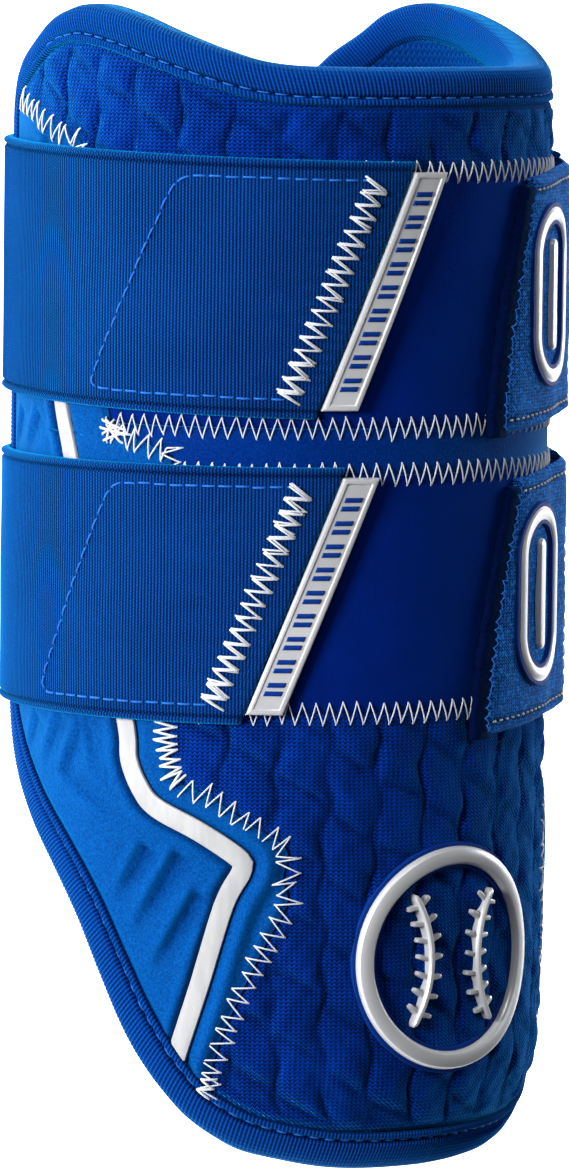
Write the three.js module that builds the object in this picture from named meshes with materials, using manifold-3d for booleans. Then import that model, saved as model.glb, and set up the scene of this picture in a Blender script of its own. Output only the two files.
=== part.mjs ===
// Baseball elbow guard: a padded half-sleeve, closed at the back by two elastic straps.
// Millimetres. It lies on the flat backs of its straps with the front of the elbow up.
// X runs across the arm, +Y to the upper arm, +Z out of the guard's front. The origin is under its middle.
// A place on the guard is given as wrap (mm round the arm from the front centre line, + to the right),
// height (mm along the arm from the tip of the tongue) and lift (mm outside the pad's outer face).
import * as THREE from 'three';
import Module from 'manifold-3d';

// Lengths along the arm: the tongue below the straps, the straps, and the flared top above them
const TONGUE_LENGTH = 88.7;
const STRAP_WIDTH = 50;
const STRAP_GAP = 9;
const TOP_LENGTH = 29.5;

// Pad
const PAD_RADIUS = 53.4;
const HALF_WRAP = 123;
const PANEL_THICKNESS = 1.6;
const CORE_THICKNESS = 4.6;
const LINING_THICKNESS = 1.2;
const CLEARANCE = 0.3;
const LAYER_GAP = 0.5;
// The tongue bends in towards the forearm, and the top edge draws in a little.
const TONGUE_BEND_HEIGHT = 26;
const TONGUE_BEND_DEPTH = 9.2;
const TOP_BEND_HEIGHT = 24;
const TOP_BEND_DEPTH = 2.2;

// Edge binding
const BINDING_WIDTH = 7;
const BINDING_RISE = 0.3;
const BINDING_ROUND = 2.2;

// Straps, and the corners where they leave the pad for the flat span across the back
const STRAP_THICKNESS = 1.7;
const UPPER_STRAP_RISE = 1.7;
const BACK_CORNER_RADIUS = 14;
const STRAP_END_SLANT = 19.5;
const UPPER_STRAP_END = -14.5;
const LOWER_STRAP_END = -28;

// Pull tabs
const PULL_TAB_WIDTH = 7;
const PULL_TAB_INSET = 2;
const PULL_TAB_THICKNESS = 2.3;

// Anchor tabs, with the wrap of each free edge
const UPPER_TAB_EDGE = 7;
const LOWER_TAB_EDGE = 3.5;
const TAB_LIFT = 0.6;
const TAB_THICKNESS = 2.4;
const TAB_WRAP = 56;
const TAB_LAP = 14;
const TAB_EDGE_LEAN = 11;
const TAB_DROOP = 3.6;

// Raised badge rings on the anchor tabs
const BADGE_WIDTH = 20;
const BADGE_HEIGHT = 35;
const BADGE_BAND = 3;
const BADGE_THICKNESS = 1.1;
const BADGE_FROM_EDGE = 20;

// Emblem on the tongue
const EMBLEM_DIAMETER = 44;
const EMBLEM_BAND = 3.6;
const EMBLEM_SEAM_WIDTH = 2.6;
const EMBLEM_THICKNESS = 1.5;
const EMBLEM_HEIGHT = 42;
const EMBLEM_WRAP = -2.5;

// Stripes let into the side panels
const STRIPE_WIDTH = 4;
const STRIPE_THICKNESS = 0.7;
const STRIPE_RECESS = 0.2;

// Seams beside the straps
const LOOP_LOW_MARGIN = 1.5;
const LOOP_HIGH_MARGIN = 2.1;
const FRONT_SEAM_MARGIN = 2.1;

// Coarseness of the facets
const FACET_STEP = 7;
const TAB_FACET_STEP = 4.6;
const OUTLINE_STATIONS = 400;
const BINDING_STATIONS = 40;
const LONG_ROW = 9;
const FAN_POWER = 0.82;
const RING_FACETS = 28;
const STRIPE_STATIONS = 26;

const STRAPS_SPAN = 2 * STRAP_WIDTH + STRAP_GAP;
const LENGTH = TONGUE_LENGTH + STRAPS_SPAN + TOP_LENGTH;
const LOWER_STRAP_HEIGHT = TONGUE_LENGTH + STRAP_WIDTH / 2;
const UPPER_STRAP_HEIGHT = LOWER_STRAP_HEIGHT + STRAP_WIDTH + STRAP_GAP;
const BACK_ANGLE = HALF_WRAP / PAD_RADIUS;
const BACK_CORNER_CENTRE = PAD_RADIUS - BACK_CORNER_RADIUS;
const BACK_FLAT_HALF = BACK_CORNER_CENTRE * Math.sin(BACK_ANGLE);
const BACK_CORNER_LENGTH = (Math.PI - BACK_ANGLE) * BACK_CORNER_RADIUS;
const HALF_LOOP = HALF_WRAP + BACK_CORNER_LENGTH + BACK_FLAT_HALF;
const STRAP_LIFT = BINDING_RISE + CLEARANCE;
const STRAP_TOP = STRAP_LIFT + STRAP_THICKNESS;
const AXIS_HEIGHT = BACK_CORNER_RADIUS + STRAP_TOP - BACK_CORNER_CENTRE * Math.cos(BACK_ANGLE);
const CORE_TOP = -PANEL_THICKNESS - LAYER_GAP;
const LINING_TOP = CORE_TOP - CORE_THICKNESS - LAYER_GAP;
const PAD_BOTTOM = LINING_TOP - LINING_THICKNESS;

// Outline of the right half, from the tongue's tip to the front of the top edge.
// round: share of HALF_WRAP from the front centre line. along: 0 to 1 on the tongue, 1 to 2 beside the
// straps and 2 to 3 on the flared top, each as a share of that stretch.
const OUTLINE = [
  { round: 0, along: 0 },
  { round: 0.18, along: 0.005 },
  { round: 0.29, along: 0.023 },
  { round: 0.375, along: 0.051 },
  { round: 0.43, along: 0.087 },
  { round: 0.477, along: 0.131 },
  { round: 0.516, along: 0.19 },
  { round: 0.547, along: 0.246 },
  { round: 0.586, along: 0.325 },
  { round: 0.633, along: 0.438 },
  { round: 0.686, along: 0.558 },
  { round: 0.75, along: 0.661 },
  { round: 0.83, along: 0.761 },
  { round: 0.904, along: 0.863 },
  { round: 0.965, along: 0.986 },
  { round: 1, along: 1.145 },
  { round: 1, along: 1.937 },
  { round: 0.991, along: 2.399 },
  { round: 0.955, along: 2.607 },
  { round: 0.887, along: 2.777 },
  { round: 0.82, along: 2.931 },
  { round: 0.732, along: 3 },
  { round: 0.628, along: 2.946 },
  { round: 0.527, along: 2.831 },
  { round: 0.43, along: 2.715 },
  { round: 0.348, along: 2.638 },
  { round: 0.24, along: 2.615 },
  { round: 0, along: 2.615 },
];

// Zigzag seam between the front panels and a side panel, from the tongue up to the top knit.
const SEAM = [
  { along: 0.154, round: 0.445 },
  { along: 0.302, round: 0.412 },
  { along: 0.415, round: 0.376 },
  { along: 0.515, round: 0.341 },
  { along: 0.605, round: 0.307 },
  { along: 0.661, round: 0.314 },
  { along: 0.725, round: 0.309 },
  { along: 0.774, round: 0.363 },
  { along: 0.832, round: 0.43 },
  { along: 0.866, round: 0.486 },
  { along: 0.917, round: 0.504 },
  { along: 1.02, round: 0.509 },
  { along: 1.458, round: 0.505 },
  { along: 1.474, round: 0.512 },
  { along: 1.501, round: 0.572 },
  { along: 1.531, round: 0.621 },
  { along: 1.77, round: 0.655 },
  { along: 2.037, round: 0.689 },
  { along: 2.13, round: 0.74 },
  { along: 2.214, round: 0.793 },
  { along: 2.33, round: 0.883 },
  { along: 2.399, round: 0.96 },
];

// Centre line of a side stripe, from its hidden end under the upper strap to the binding.
const STRIPE = [
  { round: 0.775, along: 1.687 },
  { round: 0.739, along: 1.543 },
  { round: 0.716, along: 1.466 },
  { round: 0.65, along: 1.228 },
  { round: 0.587, along: 0.996 },
  { round: 0.579, along: 0.909 },
  { round: 0.556, along: 0.845 },
  { round: 0.528, along: 0.807 },
  { round: 0.451, along: 0.758 },
  { round: 0.386, along: 0.702 },
  { round: 0.383, along: 0.674 },
  { round: 0.41, along: 0.602 },
  { round: 0.449, along: 0.423 },
  { round: 0.475, along: 0.312 },
];

const BLUE = 0x0a47b8;
const DARK_BLUE = 0x073a9c;
const BRIGHT_BLUE = 0x0b52c8;
const NAVY = 0x062c7a;
const PALE = 0xe4e6ea;

const group = new THREE.Group();
group.name = 'baseball_elbow_guard';

const wasm = await Module();
wasm.setup();

const lerp = THREE.MathUtils.lerp;
const clamp = THREE.MathUtils.clamp;
const smoothstep = THREE.MathUtils.smoothstep;

function fabric(color, roughness) {
  return new THREE.MeshStandardMaterial({ color, roughness, metalness: 0 });
}

function steps(from, to, count) {
  return Array.from({ length: count + 1 }, (_, i) => lerp(from, to, i / count));
}

function stepCount(span, step = FACET_STEP) {
  return Math.max(1, Math.ceil(Math.abs(span) / step - 1e-6));
}

// Shape of the sleeve

function padRadius(height) {
  const tongue = clamp(1 - height / TONGUE_BEND_HEIGHT, 0, 1);
  const top = clamp((height - LENGTH + TOP_BEND_HEIGHT) / TOP_BEND_HEIGHT, 0, 1);
  return PAD_RADIUS - TONGUE_BEND_DEPTH * tongue ** 2 - TOP_BEND_DEPTH * top ** 2;
}

// Point of the sleeve: round the arm, then round the back corner and along the flat back.
function onSleeve(wrap, height, lift) {
  const side = Math.sign(wrap) || 1;
  const distance = Math.abs(wrap);
  let x;
  let z;
  if (distance <= HALF_WRAP) {
    const angle = distance / PAD_RADIUS;
    const radius = padRadius(height) + lift;
    x = radius * Math.sin(angle);
    z = radius * Math.cos(angle);
  } else if (distance <= HALF_WRAP + BACK_CORNER_LENGTH) {
    const angle = BACK_ANGLE + (distance - HALF_WRAP) / BACK_CORNER_RADIUS;
    x = BACK_FLAT_HALF + (BACK_CORNER_RADIUS + lift) * Math.sin(angle);
    z = BACK_CORNER_CENTRE * Math.cos(BACK_ANGLE) + (BACK_CORNER_RADIUS + lift) * Math.cos(angle);
  } else {
    x = HALF_LOOP - distance;
    z = BACK_CORNER_CENTRE * Math.cos(BACK_ANGLE) - BACK_CORNER_RADIUS - lift;
  }
  return [side * x, height - LENGTH / 2, AXIS_HEIGHT + z];
}

// Height of a table's along
function heightOf(along) {
  const marks = [0, TONGUE_LENGTH, TONGUE_LENGTH + STRAPS_SPAN, LENGTH];
  const stretch = Math.min(Math.floor(along), 2);
  return lerp(marks[stretch], marks[stretch + 1], along - stretch);
}

// Curves on the sleeve, as lists of [wrap, height]

function smoothLine(rows, count) {
  const points = rows.map(({ round, along }) => new THREE.Vector2(round * HALF_WRAP, heightOf(along)));
  return new THREE.SplineCurve(points).getSpacedPoints(count);
}

const HALF_OUTLINE = smoothLine(OUTLINE, OUTLINE_STATIONS);

// A line moved to its left by a distance
function offsetLine(line, distance) {
  return line.map((point, i) => {
    const before = line[Math.max(i - 1, 0)];
    const after = line[Math.min(i + 1, line.length - 1)];
    const along = new THREE.Vector2().subVectors(after, before).normalize();
    return new THREE.Vector2(point.x - along.y * distance, point.y + along.x * distance);
  });
}

// The outline moved inwards by a distance, right half only, with its ends on the centre line
function insetOutline(distance) {
  const line = offsetLine(HALF_OUTLINE, distance);
  line[0].set(0, HALF_OUTLINE[0].y + distance);
  line[line.length - 1].set(0, HALF_OUTLINE[line.length - 1].y - distance);
  return line;
}

function crossings(line, level, axis, other) {
  const found = [];
  for (let i = 1; i < line.length; i += 1) {
    const a = line[i - 1];
    const b = line[i];
    if ((a[axis] - level) * (b[axis] - level) <= 0 && a[axis] !== b[axis]) {
      found.push(lerp(a[other], b[other], (level - a[axis]) / (b[axis] - a[axis])));
    }
  }
  return found;
}

// Lowest and highest point of a half outline at one wrap, and its widest wrap at one height.
function heightsAt(line, wrap) {
  const found = crossings(line, Math.abs(wrap), 'x', 'y');
  return [Math.min(...found), Math.max(...found)];
}

function wrapAt(line, height) {
  return Math.max(...crossings(line, height, 'y', 'x'));
}

function widestWrap(line) {
  return Math.max(...line.map((point) => point.x));
}

const PAD_EDGE = insetOutline(BINDING_WIDTH + 2 * CLEARANCE);
const SEAM_LINE = smoothLine(SEAM, 8 * SEAM.length);
const SEAM_FRONT = offsetLine(SEAM_LINE, CLEARANCE);
const SEAM_SIDE = offsetLine(SEAM_LINE, -CLEARANCE);

function seamWrap(line, height) {
  return wrapAt(line, clamp(height, line[0].y, line[line.length - 1].y));
}

// The heights of the seam's own rows between two heights, with both ends, and one more in each long gap
function seamHeights(low, high, longest) {
  const inside = SEAM.map(({ along }) => heightOf(along)).filter((height) => height > low + 1 && height < high - 1);
  const rows = [low, ...inside, high];
  return rows.flatMap((height, i) => (i === 0 ? [height]
    : steps(rows[i - 1], height, stepCount(height - rows[i - 1], longest)).slice(1)));
}

// Solids made of a grid of places, thick from one lift to another

function closedMesh(vertices, triangles) {
  const geometry = new THREE.BufferGeometry();
  geometry.setAttribute('position', new THREE.Float32BufferAttribute(vertices.flat(), 3));
  geometry.setIndex(triangles.flat());
  geometry.computeVertexNormals();
  return geometry;
}

// A slab over a grid of [wrap, height] places. Its rows run up the guard and its columns run round it.
// low and high are lifts, or functions of the place.
function slab(grid, low, high, closed = false) {
  const liftOf = (lift, place) => (typeof lift === 'function' ? lift(place) : lift);
  const columns = grid.length;
  const rows = grid[0].length;
  const vertices = [];
  const triangles = [];
  for (const lift of [low, high]) {
    for (const column of grid) {
      for (const place of column) {
        vertices.push(onSleeve(...loopPlace(place), liftOf(lift, place)));
      }
    }
  }
  const at = (i, j, layer) => layer * columns * rows + (i % columns) * rows + j;
  const quad = (a, b, c, d) => triangles.push([a, b, c], [a, c, d]);
  const spans = closed ? columns : columns - 1;
  for (let i = 0; i < spans; i += 1) {
    for (let j = 0; j < rows - 1; j += 1) {
      quad(at(i, j, 1), at(i + 1, j, 1), at(i + 1, j + 1, 1), at(i, j + 1, 1));
      quad(at(i, j, 0), at(i, j + 1, 0), at(i + 1, j + 1, 0), at(i + 1, j, 0));
    }
    quad(at(i, 0, 0), at(i + 1, 0, 0), at(i + 1, 0, 1), at(i, 0, 1));
    quad(at(i, rows - 1, 0), at(i, rows - 1, 1), at(i + 1, rows - 1, 1), at(i + 1, rows - 1, 0));
  }
  if (!closed) {
    for (let j = 0; j < rows - 1; j += 1) {
      quad(at(0, j, 0), at(0, j, 1), at(0, j + 1, 1), at(0, j + 1, 0));
      const end = columns - 1;
      quad(at(end, j, 0), at(end, j + 1, 0), at(end, j + 1, 1), at(end, j, 1));
    }
  }
  return closedMesh(vertices, triangles);
}

// A wrap past the middle of the back comes round on the other side.
function loopPlace([wrap, height]) {
  return [wrap > HALF_LOOP ? wrap - 2 * HALF_LOOP : wrap, height];
}

// Columns at fixed wraps, between two outlines
function columnGrid(wraps, bottom, top, rows) {
  return wraps.map((wrap) => steps(bottom(wrap), top(wrap), rows).map((height) => [wrap, height]));
}

// Rows at fixed heights, between a left and a right edge
function rowGrid(heights, left, right, columns) {
  return steps(0, 1, columns).map((share) =>
    heights.map((height) => [lerp(left(height), right(height), share), height]));
}

// Both sides of a list of wraps that starts on the front centre line
function bothSides(half) {
  return [...half.slice(1).reverse().map((wrap) => -wrap), ...half];
}

// Wraps for a piece that ends at the pad's free edge: close together where the outline turns up.
function fanWraps(reach) {
  const shares = steps(0, 1, stepCount(reach));
  return bothSides(shares.map((share) => reach * Math.sin(share * Math.PI / 2) ** FAN_POWER));
}

function addPiece(name, geometry, material) {
  const mesh = new THREE.Mesh(geometry, material);
  mesh.name = name;
  group.add(mesh);
}

// Boolean cut of one closed mesh by another

function toSolid(geometry) {
  return new wasm.Manifold(new wasm.Mesh({
    numProp: 3,
    vertProperties: new Float32Array(geometry.attributes.position.array),
    triVerts: new Uint32Array(geometry.index.array),
  }));
}

function cut(geometry, cutter) {
  const result = toSolid(geometry).subtract(toSolid(cutter)).getMesh();
  const carved = new THREE.BufferGeometry();
  carved.setAttribute('position', new THREE.Float32BufferAttribute(result.vertProperties, 3));
  carved.setIndex(Array.from(result.triVerts));
  return carved;
}

// Pad

// Rows of the full layers, close together where the tongue bends
const LAYER_ROWS = [0, 0.045, 0.09, 0.15, 0.5, 0.87, 1];

function padLayer(low, high) {
  const reach = widestWrap(PAD_EDGE) - CLEARANCE;
  const wraps = fanWraps(reach);
  const grid = wraps.map((wrap) => {
    const [bottom, top] = heightsAt(PAD_EDGE, wrap);
    return LAYER_ROWS.map((share) => [wrap, lerp(bottom, top, share)]);
  });
  return slab(grid, low, high);
}

addPiece('lining', padLayer(PAD_BOTTOM, LINING_TOP), fabric(NAVY, 0.9));
addPiece('pad_core', padLayer(LINING_TOP + LAYER_GAP, CORE_TOP), fabric(DARK_BLUE, 0.95));

// Outer panels. Each stops half a clearance short of its seams.

const HALF_GAP = CLEARANCE / 2;
const upperLoopLow = UPPER_STRAP_HEIGHT - STRAP_WIDTH / 2 - LOOP_LOW_MARGIN;
const upperLoopHigh = UPPER_STRAP_HEIGHT + STRAP_WIDTH / 2 - LOOP_HIGH_MARGIN;
const lowerLoopLow = LOWER_STRAP_HEIGHT - STRAP_WIDTH / 2 + FRONT_SEAM_MARGIN;
const lowerLoopHigh = LOWER_STRAP_HEIGHT + STRAP_WIDTH / 2 - LOOP_LOW_MARGIN;
const seamTop = SEAM_LINE[SEAM_LINE.length - 1];

function frontPanel(heights) {
  const edge = (height) => Math.min(seamWrap(SEAM_FRONT, height), wrapAt(PAD_EDGE, height));
  const widest = Math.max(...heights.map(edge));
  const grid = rowGrid(heights, (height) => -edge(height), edge, stepCount(2 * widest));
  return slab(grid, -PANEL_THICKNESS, 0);
}

// The knit panel narrows to the round end of the tongue, with rows close together there.
const tongueLow = PAD_EDGE[0].y + CLEARANCE;
const tongueHeights = steps(0, 1, 3).slice(0, -1).map((share) => lerp(tongueLow, SEAM_LINE[0].y, share ** 2));
const knitFrontHeights = [...tongueHeights, ...seamHeights(SEAM_LINE[0].y, lowerLoopLow - HALF_GAP, LONG_ROW)];
addPiece('knit_panel_front', frontPanel(knitFrontHeights), fabric(BLUE, 0.85));
addPiece('loop_panel_lower',
  frontPanel(seamHeights(lowerLoopLow + HALF_GAP, lowerLoopHigh - HALF_GAP, STRAP_WIDTH)),
  fabric(DARK_BLUE, 0.95));
addPiece('mid_band',
  frontPanel(seamHeights(lowerLoopHigh + HALF_GAP, upperLoopLow - HALF_GAP, LONG_ROW)),
  fabric(BRIGHT_BLUE, 0.7));
addPiece('loop_panel_upper',
  frontPanel(seamHeights(upperLoopLow + HALF_GAP, upperLoopHigh - HALF_GAP, STRAP_WIDTH)),
  fabric(DARK_BLUE, 0.95));

// Its columns stand at the seam's own rows, as the side panels' rows do.
function topPanel() {
  const floor = (wrap) => {
    const found = crossings(SEAM_FRONT, Math.abs(wrap), 'x', 'y').filter((height) => height > upperLoopHigh);
    return Math.max(upperLoopHigh + HALF_GAP, ...found);
  };
  const ceiling = (wrap) => heightsAt(PAD_EDGE, wrap)[1];
  const widest = Math.min(widestWrap(PAD_EDGE), seamTop.x) - CLEARANCE;
  const reach = steps(widest, 0, OUTLINE_STATIONS).find((wrap) => ceiling(wrap) - floor(wrap) > PANEL_THICKNESS);
  const corners = SEAM.filter(({ along }) => heightOf(along) > upperLoopHigh)
    .map(({ round }) => round * HALF_WRAP).filter((wrap) => wrap < reach - 1);
  const half = [...steps(0, corners[0], stepCount(corners[0])), ...corners.slice(1), reach];
  const wraps = bothSides(half);
  return slab(columnGrid(wraps, floor, ceiling, 2), -PANEL_THICKNESS, 0);
}

addPiece('knit_panel_top', topPanel(), fabric(BLUE, 0.85));

// Side panels, each with its stripe let in

function sidePanel(side) {
  const seamEdge = (height) => seamWrap(SEAM_SIDE, height);
  const heights = seamHeights(SEAM_LINE[0].y, seamTop.y, LONG_ROW)
    .filter((height) => wrapAt(PAD_EDGE, height) > seamEdge(height) + 1);
  const widest = Math.max(...heights.map((height) => wrapAt(PAD_EDGE, height) - seamEdge(height)));
  const edges = [seamEdge, (height) => wrapAt(PAD_EDGE, height)];
  const [left, right] = side > 0 ? edges : edges.reverse();
  const grid = rowGrid(heights, (height) => side * left(height), (height) => side * right(height), stepCount(widest));
  return slab(grid, -PANEL_THICKNESS, 0);
}

// A strip along a centre line on the sleeve, half wide to each side
function strip(line, half, low, high) {
  const right = offsetLine(line, -half);
  const left = offsetLine(line, half);
  return slab(line.map((_, i) => [right[i].toArray(), left[i].toArray()]), low, high);
}

// A line carried on straight past both ends
function lengthened(line, by) {
  const last = line.length - 1;
  const start = line[0].clone().sub(line[1]).setLength(by).add(line[0]);
  const end = line[last].clone().sub(line[last - 1]).setLength(by).add(line[last]);
  return [start, ...line, end];
}

function mirrored(line, side) {
  return line.map((point) => new THREE.Vector2(side * point.x, point.y));
}

for (const [name, side] of [['left', -1], ['right', 1]]) {
  const line = mirrored(smoothLine(STRIPE, STRIPE_STATIONS), side);
  const floor = -STRIPE_RECESS - STRIPE_THICKNESS;
  const groove = strip(
    lengthened(line, CLEARANCE), STRIPE_WIDTH / 2 + CLEARANCE, floor - CLEARANCE, PANEL_THICKNESS);
  addPiece(`side_panel_${name}`, cut(sidePanel(side), groove), fabric(BRIGHT_BLUE, 0.7));
  addPiece(`side_stripe_${name}`, strip(line, STRIPE_WIDTH / 2, floor, -STRIPE_RECESS), fabric(PALE, 0.5));
}

// Edge binding: one ring round the whole outline, with a rounded outer edge

function edgeBinding() {
  const low = PAD_BOTTOM - BINDING_RISE;
  const profile = [
    [BINDING_WIDTH, low],
    [BINDING_ROUND, low],
    [0, low + BINDING_ROUND],
    [0, BINDING_RISE - BINDING_ROUND],
    [BINDING_ROUND, BINDING_RISE],
    [BINDING_WIDTH, BINDING_RISE],
  ];
  const everyFew = OUTLINE_STATIONS / BINDING_STATIONS;
  const rings = profile.map(([inset, lift]) => {
    const right = insetOutline(inset).filter((_, i) => i % everyFew === 0);
    const left = right.slice(1, -1).reverse().map((point) => new THREE.Vector2(-point.x, point.y));
    return [...right, ...left].map((point) => onSleeve(point.x, point.y, lift));
  });
  const stations = rings[0].length;
  const vertices = rings.flat();
  const triangles = [];
  for (let i = 0; i < rings.length; i += 1) {
    for (let j = 0; j < stations; j += 1) {
      const a = i * stations + j;
      const b = i * stations + (j + 1) % stations;
      const c = ((i + 1) % rings.length) * stations + (j + 1) % stations;
      const d = ((i + 1) % rings.length) * stations + j;
      triangles.push([a, b, c], [a, c, d]);
    }
  }
  return closedMesh(vertices, triangles);
}

addPiece('edge_binding', edgeBinding(), fabric(BRIGHT_BLUE, 0.8));

// Straps with their pull tabs, anchor tabs and badges

const PULL_TAB_TOP = STRAP_LIFT + PULL_TAB_THICKNESS - CLEARANCE;
const TAB_TOP = STRAP_TOP + CLEARANCE + TAB_THICKNESS;

function strapAndTabs(name, centre, rise, end, tabEdge) {
  const low = centre - STRAP_WIDTH / 2;
  const tabEnd = tabEdge + TAB_WRAP;
  const start = tabEnd - TAB_LAP;
  // Slanted front end of the strap at a share of its width
  const frontEnd = (share) => 2 * HALF_LOOP + end - STRAP_END_SLANT * (1 - share);
  const straight = 2 * HALF_LOOP + end - STRAP_END_SLANT - 2 * FACET_STEP;
  const shares = steps(0, 1, 3);
  const wraps = [
    ...steps(start, HALF_WRAP, stepCount(HALF_WRAP - start)),
    ...steps(HALF_WRAP, HALF_WRAP + BACK_CORNER_LENGTH, 4).slice(1),
    ...steps(HALF_WRAP + BACK_CORNER_LENGTH, 2 * HALF_LOOP - HALF_WRAP - BACK_CORNER_LENGTH, 2).slice(1),
    ...steps(2 * HALF_LOOP - HALF_WRAP - BACK_CORNER_LENGTH, 2 * HALF_LOOP - HALF_WRAP, 4).slice(1),
    ...steps(2 * HALF_LOOP - HALF_WRAP, straight, stepCount(straight - 2 * HALF_LOOP + HALF_WRAP)).slice(1),
  ];
  const climb = (wrap) => rise * (1 - Math.cos(Math.min(Math.abs(loopPlace([wrap, 0])[0]) / PAD_RADIUS, Math.PI)));
  const grid = wraps.map((wrap) => shares.map((share) => [wrap, low + share * STRAP_WIDTH + climb(wrap)]));
  const endSteps = stepCount(STRAP_END_SLANT + 2 * FACET_STEP);
  for (const step of steps(0, 1, endSteps).slice(1)) {
    grid.push(shares.map((share) => {
      const wrap = lerp(straight, frontEnd(share), step);
      return [wrap, low + share * STRAP_WIDTH + climb(wrap)];
    }));
  }
  addPiece(`${name}_strap`, slab(grid, STRAP_LIFT, STRAP_TOP), fabric(BLUE, 0.9));

  // The pull tab carries on from the slanted end.
  const tabLow = low + PULL_TAB_INSET;
  const pullGrid = steps(0, 1, 2).map((across) => steps(0, 1, 8).map((share) => {
    const height = tabLow + share * (STRAP_WIDTH - 2 * PULL_TAB_INSET);
    const wrap = frontEnd((height - low) / STRAP_WIDTH) + CLEARANCE + across * PULL_TAB_WIDTH;
    return [wrap, height];
  }));
  addPiece(`${name}_pull_tab`, slab(pullGrid, CLEARANCE, PULL_TAB_TOP), fabric(PALE, 0.35));

  // The anchor tab lies over the strap's fixed end, and its free edge leans and droops.
  const tabUnder = ([wrap]) => {
    const onStrap = smoothstep(wrap, start - 2 * FACET_STEP, start - CLEARANCE);
    return lerp(TAB_LIFT, STRAP_TOP + CLEARANCE, onStrap);
  };
  const tabOver = (place) => tabUnder(place) + TAB_THICKNESS;
  const tabGrid = steps(0, 1, stepCount(TAB_WRAP, TAB_FACET_STEP)).map((across) => steps(0, 1, 4).map((share) => {
    const edge = tabEdge + TAB_EDGE_LEAN * share ** 1.6;
    const droop = TAB_DROOP * (1 - across);
    return [lerp(edge, tabEnd, across), low - droop + share * STRAP_WIDTH];
  }));
  addPiece(`${name}_anchor_tab`, slab(tabGrid, tabUnder, tabOver), fabric(BLUE, 0.85));

  // A stadium ring on the anchor tab, along the arm
  const middle = [tabEdge + BADGE_FROM_EDGE, centre - TAB_DROOP / 2];
  const straightHalf = (BADGE_HEIGHT - BADGE_WIDTH) / 2;
  const badgeGrid = steps(0, 2 * Math.PI, 20).slice(0, -1).map((angle) => {
    const radii = [BADGE_WIDTH / 2, BADGE_WIDTH / 2 - BADGE_BAND];
    return radii.map((radius) => [
      middle[0] + radius * Math.cos(angle),
      middle[1] + Math.sign(Math.round(Math.sin(angle) * 1e6)) * straightHalf + radius * Math.sin(angle),
    ]);
  });
  const badgeUnder = (place) => tabOver(place) + CLEARANCE;
  const badgeOver = (place) => badgeUnder(place) + BADGE_THICKNESS;
  addPiece(`${name}_badge`, slab(badgeGrid, badgeUnder, badgeOver, true), fabric(PALE, 0.35));
}

strapAndTabs('upper', UPPER_STRAP_HEIGHT, UPPER_STRAP_RISE, UPPER_STRAP_END, UPPER_TAB_EDGE);
strapAndTabs('lower', LOWER_STRAP_HEIGHT, 0, LOWER_STRAP_END, LOWER_TAB_EDGE);

// Emblem: a raised ring with two bowed seams, as on a ball

function ringGrid(centre, outer, inner) {
  return steps(0, 2 * Math.PI, RING_FACETS).slice(0, -1).map((angle) => [outer, inner].map((radius) => [
    centre[0] + radius * Math.cos(angle),
    centre[1] + radius * Math.sin(angle),
  ]));
}

const emblemCentre = [EMBLEM_WRAP, EMBLEM_HEIGHT];
const emblemUnder = CLEARANCE;
const emblemOver = CLEARANCE + EMBLEM_THICKNESS;
const emblemRadius = EMBLEM_DIAMETER / 2;
addPiece('emblem_ring',
  slab(ringGrid(emblemCentre, emblemRadius, emblemRadius - EMBLEM_BAND), emblemUnder, emblemOver, true),
  fabric(PALE, 0.35));

for (const [name, side] of [['left', -1], ['right', 1]]) {
  const bow = emblemRadius * 1.05;
  const reach = emblemRadius - EMBLEM_BAND - EMBLEM_SEAM_WIDTH;
  const half = Math.asin(reach * 0.82 / bow);
  const line = steps(-half, half, 10).map((angle) => new THREE.Vector2(
    EMBLEM_WRAP + side * (emblemRadius * 1.32 - bow * Math.cos(angle)),
    EMBLEM_HEIGHT - side * bow * Math.sin(angle),
  ));
  addPiece(`emblem_seam_${name}`, strip(line, EMBLEM_SEAM_WIDTH / 2, emblemUnder, emblemOver), fabric(PALE, 0.35));
}

export default group;
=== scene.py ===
import math

import bpy
import numpy as np
from mathutils import Matrix, Vector


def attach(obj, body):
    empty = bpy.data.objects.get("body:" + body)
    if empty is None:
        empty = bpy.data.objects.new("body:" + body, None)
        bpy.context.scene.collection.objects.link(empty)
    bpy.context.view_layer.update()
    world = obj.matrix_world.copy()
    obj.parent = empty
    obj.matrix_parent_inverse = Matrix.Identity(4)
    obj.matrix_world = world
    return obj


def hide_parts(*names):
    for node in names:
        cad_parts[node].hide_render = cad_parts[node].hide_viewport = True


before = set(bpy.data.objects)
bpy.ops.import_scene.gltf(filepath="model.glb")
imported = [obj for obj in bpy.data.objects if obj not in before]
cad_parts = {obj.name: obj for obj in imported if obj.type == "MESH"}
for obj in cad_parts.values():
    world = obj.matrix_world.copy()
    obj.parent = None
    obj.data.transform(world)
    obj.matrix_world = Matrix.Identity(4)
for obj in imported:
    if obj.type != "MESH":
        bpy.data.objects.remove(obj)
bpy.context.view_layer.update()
rng = np.random.default_rng(7)

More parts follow.
